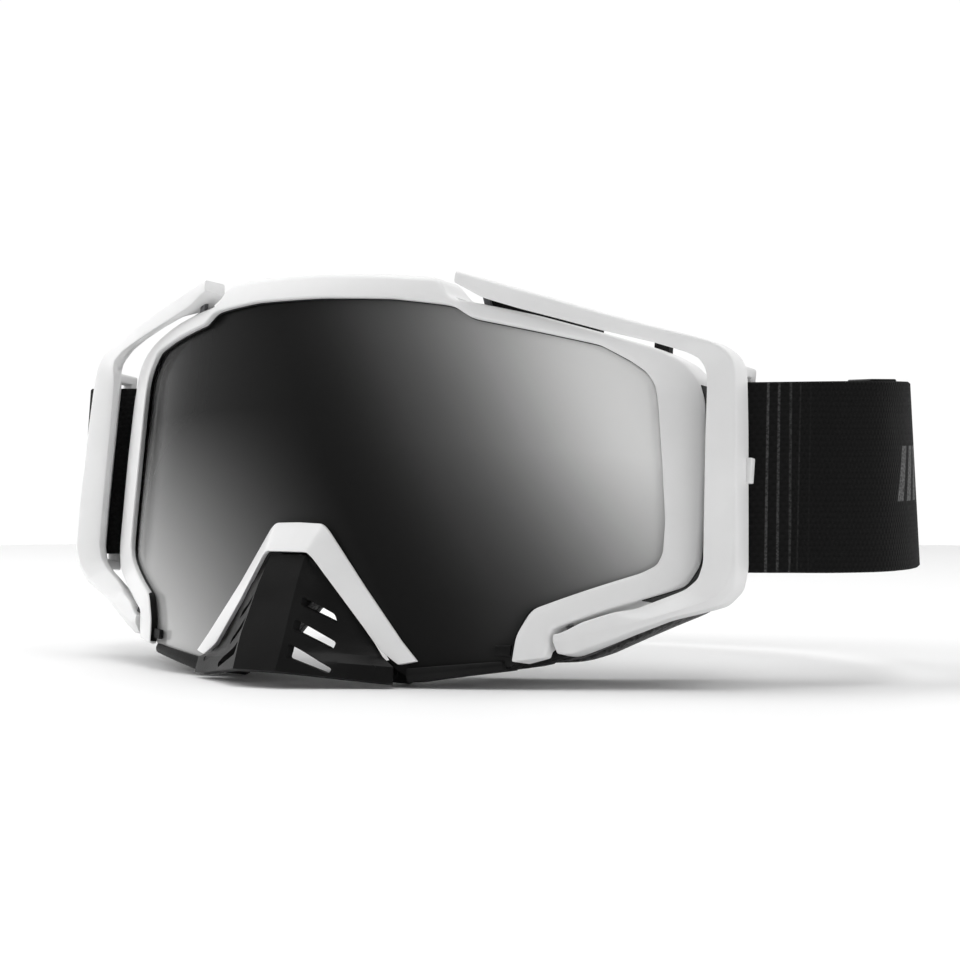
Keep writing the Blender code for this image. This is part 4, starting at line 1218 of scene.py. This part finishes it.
def band_mesh(name, stops, side, half, thick, middle=0.0):
    """A band through stops of (point, normal, length for its height, shift, length along the cloth)."""
    sections = []
    uvs = []
    for point, normal, length, shift, along in stops:
        section, heights = band_section(point, normal, length, side, half, thick, shift, middle)
        sections.append(section)
        uvs += [(along * MM, height * MM) for height in heights]
    return loft(name, sections, level, uvs=uvs)


def run_stops(start, end, shift=0.0, step=1.5):
    """Stops at even steps along the route, as band_mesh takes them."""
    count = max(2, math.ceil((end - start) / step))
    places = [start + (end - start) * k / count for k in range(count + 1)]
    return [(route_at(s), normal_at(s), s, shift, s) for s in places]


def both_ways(stops):
    """Stops up to the back centre, and on round the other side."""
    return stops + [(Vector((-p.x, p.y)), Vector((-n.x, n.y)), *rest) for p, n, *rest in stops[-2::-1]]


def bridge(a, b):
    """Three stops between two others."""
    made = []
    for t in (0.25, 0.5, 0.75):
        spot = (a[0] + a[1] * a[3]).lerp(b[0] + b[1] * b[3], t)
        normal = a[1].lerp(b[1], t).normalized()
        made.append((spot, normal, a[2] + (b[2] - a[2]) * t, 0.0, a[4] + (b[4] - a[4]) * t))
    return made


def band_spot(side, length):
    spot = route_at(length)
    return level((side * spot.x, spot.y, leaned(STRAP_BAR).z))


def make_strap_front(side, hand, paint):
    """The band's front stretch: in along the inside, round the outrigger's bar, and out again."""
    centre = leaned(STRAP_BAR).xy
    inward = -normal_at(2)
    start = math.atan2(inward.y, inward.x)
    inner = run_stops(BAND_OPENS, FRONT_LENGTH, -TAIL_INSET)[::-1]
    outer = run_stops(BAND_OPENS, FRONT_LENGTH)
    stops = [(p, -n, s, -shift, -s) for p, n, s, shift, s in inner]
    turn_stops = []
    for k in range(TURN_STEPS + 1):
        turn = start + math.pi * k / TURN_STEPS
        spoke = Vector((math.cos(turn), math.sin(turn)))
        along = (k - TURN_STEPS / 2) * TURN_CLOTH
        turn_stops.append((centre + TURN_RADIUS * spoke, spoke, 0.0, 0.0, along))
    stops += bridge(stops[-1], turn_stops[0]) + turn_stops + bridge(turn_stops[-1], outer[0]) + outer
    front = band_mesh(f"strap_front_{hand}", stops, side, STRAP_WIDTH / 2, STRAP_THICK)
    put(front, None, paint, "black_webbing", f"strap_end_{hand}")
    band_spot(side, 6)
    band_spot(side, FRONT_LENGTH - 2)
    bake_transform(front)


def make_strap_back(paint):
    right = run_stops(FRONT_LENGTH, ALONG[-1], step=2.0)
    back = band_mesh("strap_back", both_ways(right), 1, STRAP_WIDTH / 2, STRAP_THICK)
    put(back, "frame", paint, "black_webbing", "strap_band")


def slider_place():
    """The slider's length along the route, and its point, direction and normal there."""
    length = ALONG[STRETCH_FROM * ROUTE_STEPS] + SLIDER_ALONG_STRETCH
    normal = normal_at(length)
    return length, route_at(length), Vector((-normal.y, normal.x)), normal


def make_strap_tail(side, hand, paint):
    end = slider_place()[0] - SLIDER_LOOP_RUN - GAP
    stops = run_stops(FRONT_LENGTH, end, -TAIL_INSET)
    tail = band_mesh(f"strap_inner_{hand}", stops, side, STRAP_WIDTH / 2, STRAP_THICK)
    put(tail, None, paint, "black_webbing", f"strap_tail_{hand}")
    band_spot(side, FRONT_LENGTH)
    band_spot(side, end)
    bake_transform(tail)


def slider_corner(side, place, along, across, height):
    length, point, direction, normal = place
    flat = point + direction * along + normal * across
    return Vector((side * flat.x, flat.y, leaned(STRAP_BAR).z + STRAP_RISE * length + height))


def slider_block(name, side, place, along, across, heights):
    corners = [slider_corner(side, place, a, c, h) for h in heights for c in across for a in along]
    return bevelled(add_mesh(name, corners, BOX_FACES, level), BLOCK_ROUND)


def make_slider(side, hand, paint):
    place = slider_place()
    half = STRAP_WIDTH / 2
    rail = (half + RAIL_CLEAR, half + RAIL_CLEAR + RAIL_HEIGHT)
    reach = (-rail[0] - RAIL_BITE, rail[0] + RAIL_BITE)
    length = SLIDER_HALF_LENGTH
    across = (SLIDER_INNER[0], SLIDER_OUTER[1])
    slider = slider_block(f"slider_frame_{hand}", side, place, (-length, length), across, rail)
    apply_modifiers(slider)
    bars = [
        ((-length, length), across, (-rail[1], -rail[0])),
        ((-length, -length + SLIDER_BAR), SLIDER_OUTER, reach),
        ((length - SLIDER_BAR, length), SLIDER_OUTER, reach),
        ((-SLIDER_BAR / 2, SLIDER_BAR / 2), SLIDER_INNER, reach),
    ]
    for along, depth, heights in bars:
        cut(slider, slider_block("bar", side, place, along, depth, heights), "UNION")
    smooth_shading(slider)
    put(slider, f"slider_{hand}", paint, "black_plastic", f"strap_slider_{hand}")


def make_slider_loop(side, hand, paint, stitches):
    place = slider_place()
    half = STRAP_WIDTH / 2 - LOOP_NARROWER
    radius = (SLIDER_INNER[1] - SLIDER_INNER[0]) / 2 + GAP + STRAP_THICK / 2
    middle = (SLIDER_INNER[0] + SLIDER_INNER[1]) / 2
    path = [Vector((-SLIDER_LOOP_RUN * (1 - k / 6), -TAIL_INSET)) for k in range(6)]
    for k in range(17):
        turn = math.pi * (0.5 - k / 16)
        x = SLIDER_BAR / 2 - LOOP_BACK + radius * math.cos(turn)
        path.append(Vector((x, middle + radius * math.sin(turn))))
    path += [Vector((-SLIDER_LOOP_RUN * k / 6, middle - radius)) for k in range(1, 7)]
    sections = []
    uvs = []
    total = 0.0
    for i, point in enumerate(path):
        normal = outward_of(path[max(i - 1, 0)], path[min(i + 1, len(path) - 1)])
        if i:
            total += (point - path[i - 1]).length
        section = []
        for height, across in ((-half, -0.7), (-half, 0.7), (-half + 0.4, 1), (half - 0.4, 1), (half, 0.7),
                               (half, -0.7), (half - 0.4, -1), (-half + 0.4, -1)):
            spot = point + normal * across * STRAP_THICK / 2
            section.append(slider_corner(side, place, spot.x, spot.y, height))
            uvs.append((total * MM, height * MM))
        sections.append(section)
    loop = loft(f"slider_webbing_{hand}", sections, level, uvs=uvs)
    put(loop, f"slider_{hand}", paint, "black_webbing", f"slider_loop_{hand}")
    make_stitches(side, hand, place, middle - radius - STRAP_THICK / 2, half, stitches)


def make_stitches(side, hand, place, depth, half, paint):
    """Two rows of thread that hold the loop's end down."""
    points = []
    faces = []
    for row in STITCH_ROWS:
        for k in range(int(2 * (half - STITCH_MARGIN) / STITCH_PITCH)):
            low = -half + STITCH_MARGIN + k * STITCH_PITCH
            base = len(points)
            for share, lift, thick in STITCH_ARC:
                height = low + share * STITCH_LENGTH
                for turn in range(6):
                    a = turn * math.pi / 3
                    spot = (row + thick * math.cos(a), depth - lift + thick * math.sin(a))
                    points.append(slider_corner(side, place, *spot, height))
            for ring in range(base, base + 24, 6):
                for turn in range(6):
                    n = (turn + 1) % 6
                    faces.append((ring + turn, ring + n, ring + 6 + n, ring + 6 + turn))
            faces.append(tuple(base + 5 - t for t in range(6)))
            faces.append(tuple(base + 24 + t for t in range(6)))
    made = add_mesh(f"slider_stitches_{hand}", points, faces, level)
    put(made, f"slider_{hand}", paint, "black_webbing")


def make_grip_strips(paint):
    start = ALONG[int(GRIP_FROM * ROUTE_STEPS)]
    stops = both_ways(run_stops(start, ALONG[-1], -STRAP_THICK / 2 - GRIP_THICK / 2 + 0.02, 2.0))
    for name, height in GRIP_HEIGHTS.items():
        strip = band_mesh(f"grip_line_{name}", stops, 1, GRIP_HEIGHT / 2, GRIP_THICK, height)
        put(strip, "frame", paint, "grey_silicone", f"grip_strip_{name}")


# ---------------------------------------------------------------- studio

CAMERA_AZIMUTH = math.radians(33)
CAMERA_ELEVATION = math.radians(1)
CAMERA_DISTANCE = 714
CAMERA_RIGHT = 24.8
CAMERA_UP = 11.8
CAMERA_LENS = 107.25
FLOOR_RADIUS = 0.8
FLOOR_SIDES = 96
DIM_AZIMUTH = math.radians(35)
DIM_RISE = 0.5
BACKDROP = 1.02
DIM = 0.2
DIM_FADE = (-0.6, 0.75)
# Lights: name, azimuth, elevation, size, power, and whether surfaces reflect it.
LIGHTS = [
    ("key_left", -60, 30, (0.9, 0.9), 8, False),
    ("side_right", 82, 8, (1.3, 0.8), 5.2, False),
    ("top", 30, 88, (1.2, 1.2), 10, True),
]
LIGHT_DISTANCE = 1.2
LIGHT_TARGET = Vector((0, 0, 0.05))


def make_camera():
    data = bpy.data.cameras.new("camera")
    data.lens = CAMERA_LENS
    data.sensor_width = 36
    camera = bpy.data.objects.new("camera", data)
    bpy.context.scene.collection.objects.link(camera)
    turn = Matrix.Rotation(CAMERA_AZIMUTH, 3, "Z")
    back = turn @ Vector((0, -math.cos(CAMERA_ELEVATION), math.sin(CAMERA_ELEVATION)))
    right = turn @ Vector((1, 0, 0))
    up = back.cross(right)
    spot = right * CAMERA_RIGHT + up * CAMERA_UP + back * CAMERA_DISTANCE
    camera.matrix_world = Matrix.Translation(level(spot)) @ Matrix((right, up, back)).transposed().to_4x4()
    data.clip_start = 0.05
    bpy.context.scene.camera = camera


def make_floor():
    low = cad_box[0].z
    turns = [2 * math.pi * k / FLOOR_SIDES for k in range(FLOOR_SIDES)]
    points = [Vector((FLOOR_RADIUS * math.cos(t), FLOOR_RADIUS * math.sin(t), low)) for t in turns]
    floor = add_mesh("floor", points, [tuple(range(FLOOR_SIDES))])
    floor.data.materials.append(floor_paint())


def make_light(name, azimuth, elevation, size, power, glossy):
    data = bpy.data.lights.new(name, "AREA")
    data.shape = "RECTANGLE"
    data.size, data.size_y = size
    data.energy = power
    light = bpy.data.objects.new(name, data)
    bpy.context.scene.collection.objects.link(light)
    a, e = math.radians(azimuth), math.radians(elevation)
    back = Vector((math.sin(a) * math.cos(e), -math.cos(a) * math.cos(e), math.sin(e)))
    light.location = LIGHT_TARGET + back * LIGHT_DISTANCE
    light.rotation_mode = "QUATERNION"
    light.rotation_quaternion = back.to_track_quat("Z", "Y")
    light.visible_glossy = glossy
    light.visible_camera = False


def make_studio():
    world = bpy.data.worlds.new("studio")
    world.use_nodes = True
    tree = world.node_tree
    background = tree.nodes["Background"]
    background.inputs["Color"].default_value = (1, 1, 1, 1)
    towards = tree.nodes.new("ShaderNodeVectorMath")
    towards.operation = "DOT_PRODUCT"
    towards.inputs[1].default_value = (math.sin(DIM_AZIMUTH), -math.cos(DIM_AZIMUTH), DIM_RISE)
    tree.links.new(tree.nodes.new("ShaderNodeTexCoord").outputs["Generated"], towards.inputs[0])
    fade = tree.nodes.new("ShaderNodeMapRange")
    fade.interpolation_type = "SMOOTHSTEP"
    tree.links.new(towards.outputs["Value"], fade.inputs["Value"])
    names = ("From Min", "From Max", "To Min", "To Max")
    for name, value in zip(names, (*DIM_FADE, BACKDROP, DIM)):
        fade.inputs[name].default_value = value
    tree.links.new(fade.outputs[0], background.inputs["Strength"])
    bpy.context.scene.world = world
    bpy.context.scene.view_settings.view_transform = "Standard"
    for light in LIGHTS:
        make_light(*light)


# ---------------------------------------------------------------- main

def main():
    make_camera()
    make_studio()
    make_floor()
    white = white_plastic()
    black = black_plastic()
    guard_black = black_plastic("guard_black", 0.02, (0.3, 0.45))
    cloth = webbing(False)
    printed_cloth = webbing(True)
    rows = smooth_rows(both_sides(RIM), 0.7, 0.9)
    outward = inner_outwards(rows)
    make_lens(mirror_lens())
    make_rim(rows, outward, white)
    make_lens_edging(rows, outward, black)
    make_inner_frame(black)
    make_nose_guard(guard_black)
    make_nose_trim(white)
    make_pins(steel())
    grey = foam("grey_foam", 0.02, 0.085)
    dark = foam("dark_foam", 0.012, 0.05)
    make_foam({"foam_base": dark, "foam_middle": grey, "face_fleece": fleece()})
    make_vent_foam(dark)
    make_strap_back(printed_cloth)
    make_grip_strips(silicone())
    stitch = thread()
    for side, hand in ((1, "right"), (-1, "left")):
        make_lower_lip(side, hand, black)
        make_gap_shade_skin(side, hand, rows, black)
        make_plates(side, hand, black)
        make_outrigger(side, hand, white)
        make_strap_front(side, hand, printed_cloth)
        make_strap_tail(side, hand, cloth)
        make_slider(side, hand, guard_black)
        make_slider_loop(side, hand, cloth, stitch)


low_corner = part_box("lens")[0] / MM
own_low = lens_low()
SHIFT = Vector((0, low_corner.y - own_low[0], low_corner.z - own_low[1]))
ROUTE = strap_line()
ALONG = route_lengths(ROUTE)
main()
bpy.context.view_layer.update()
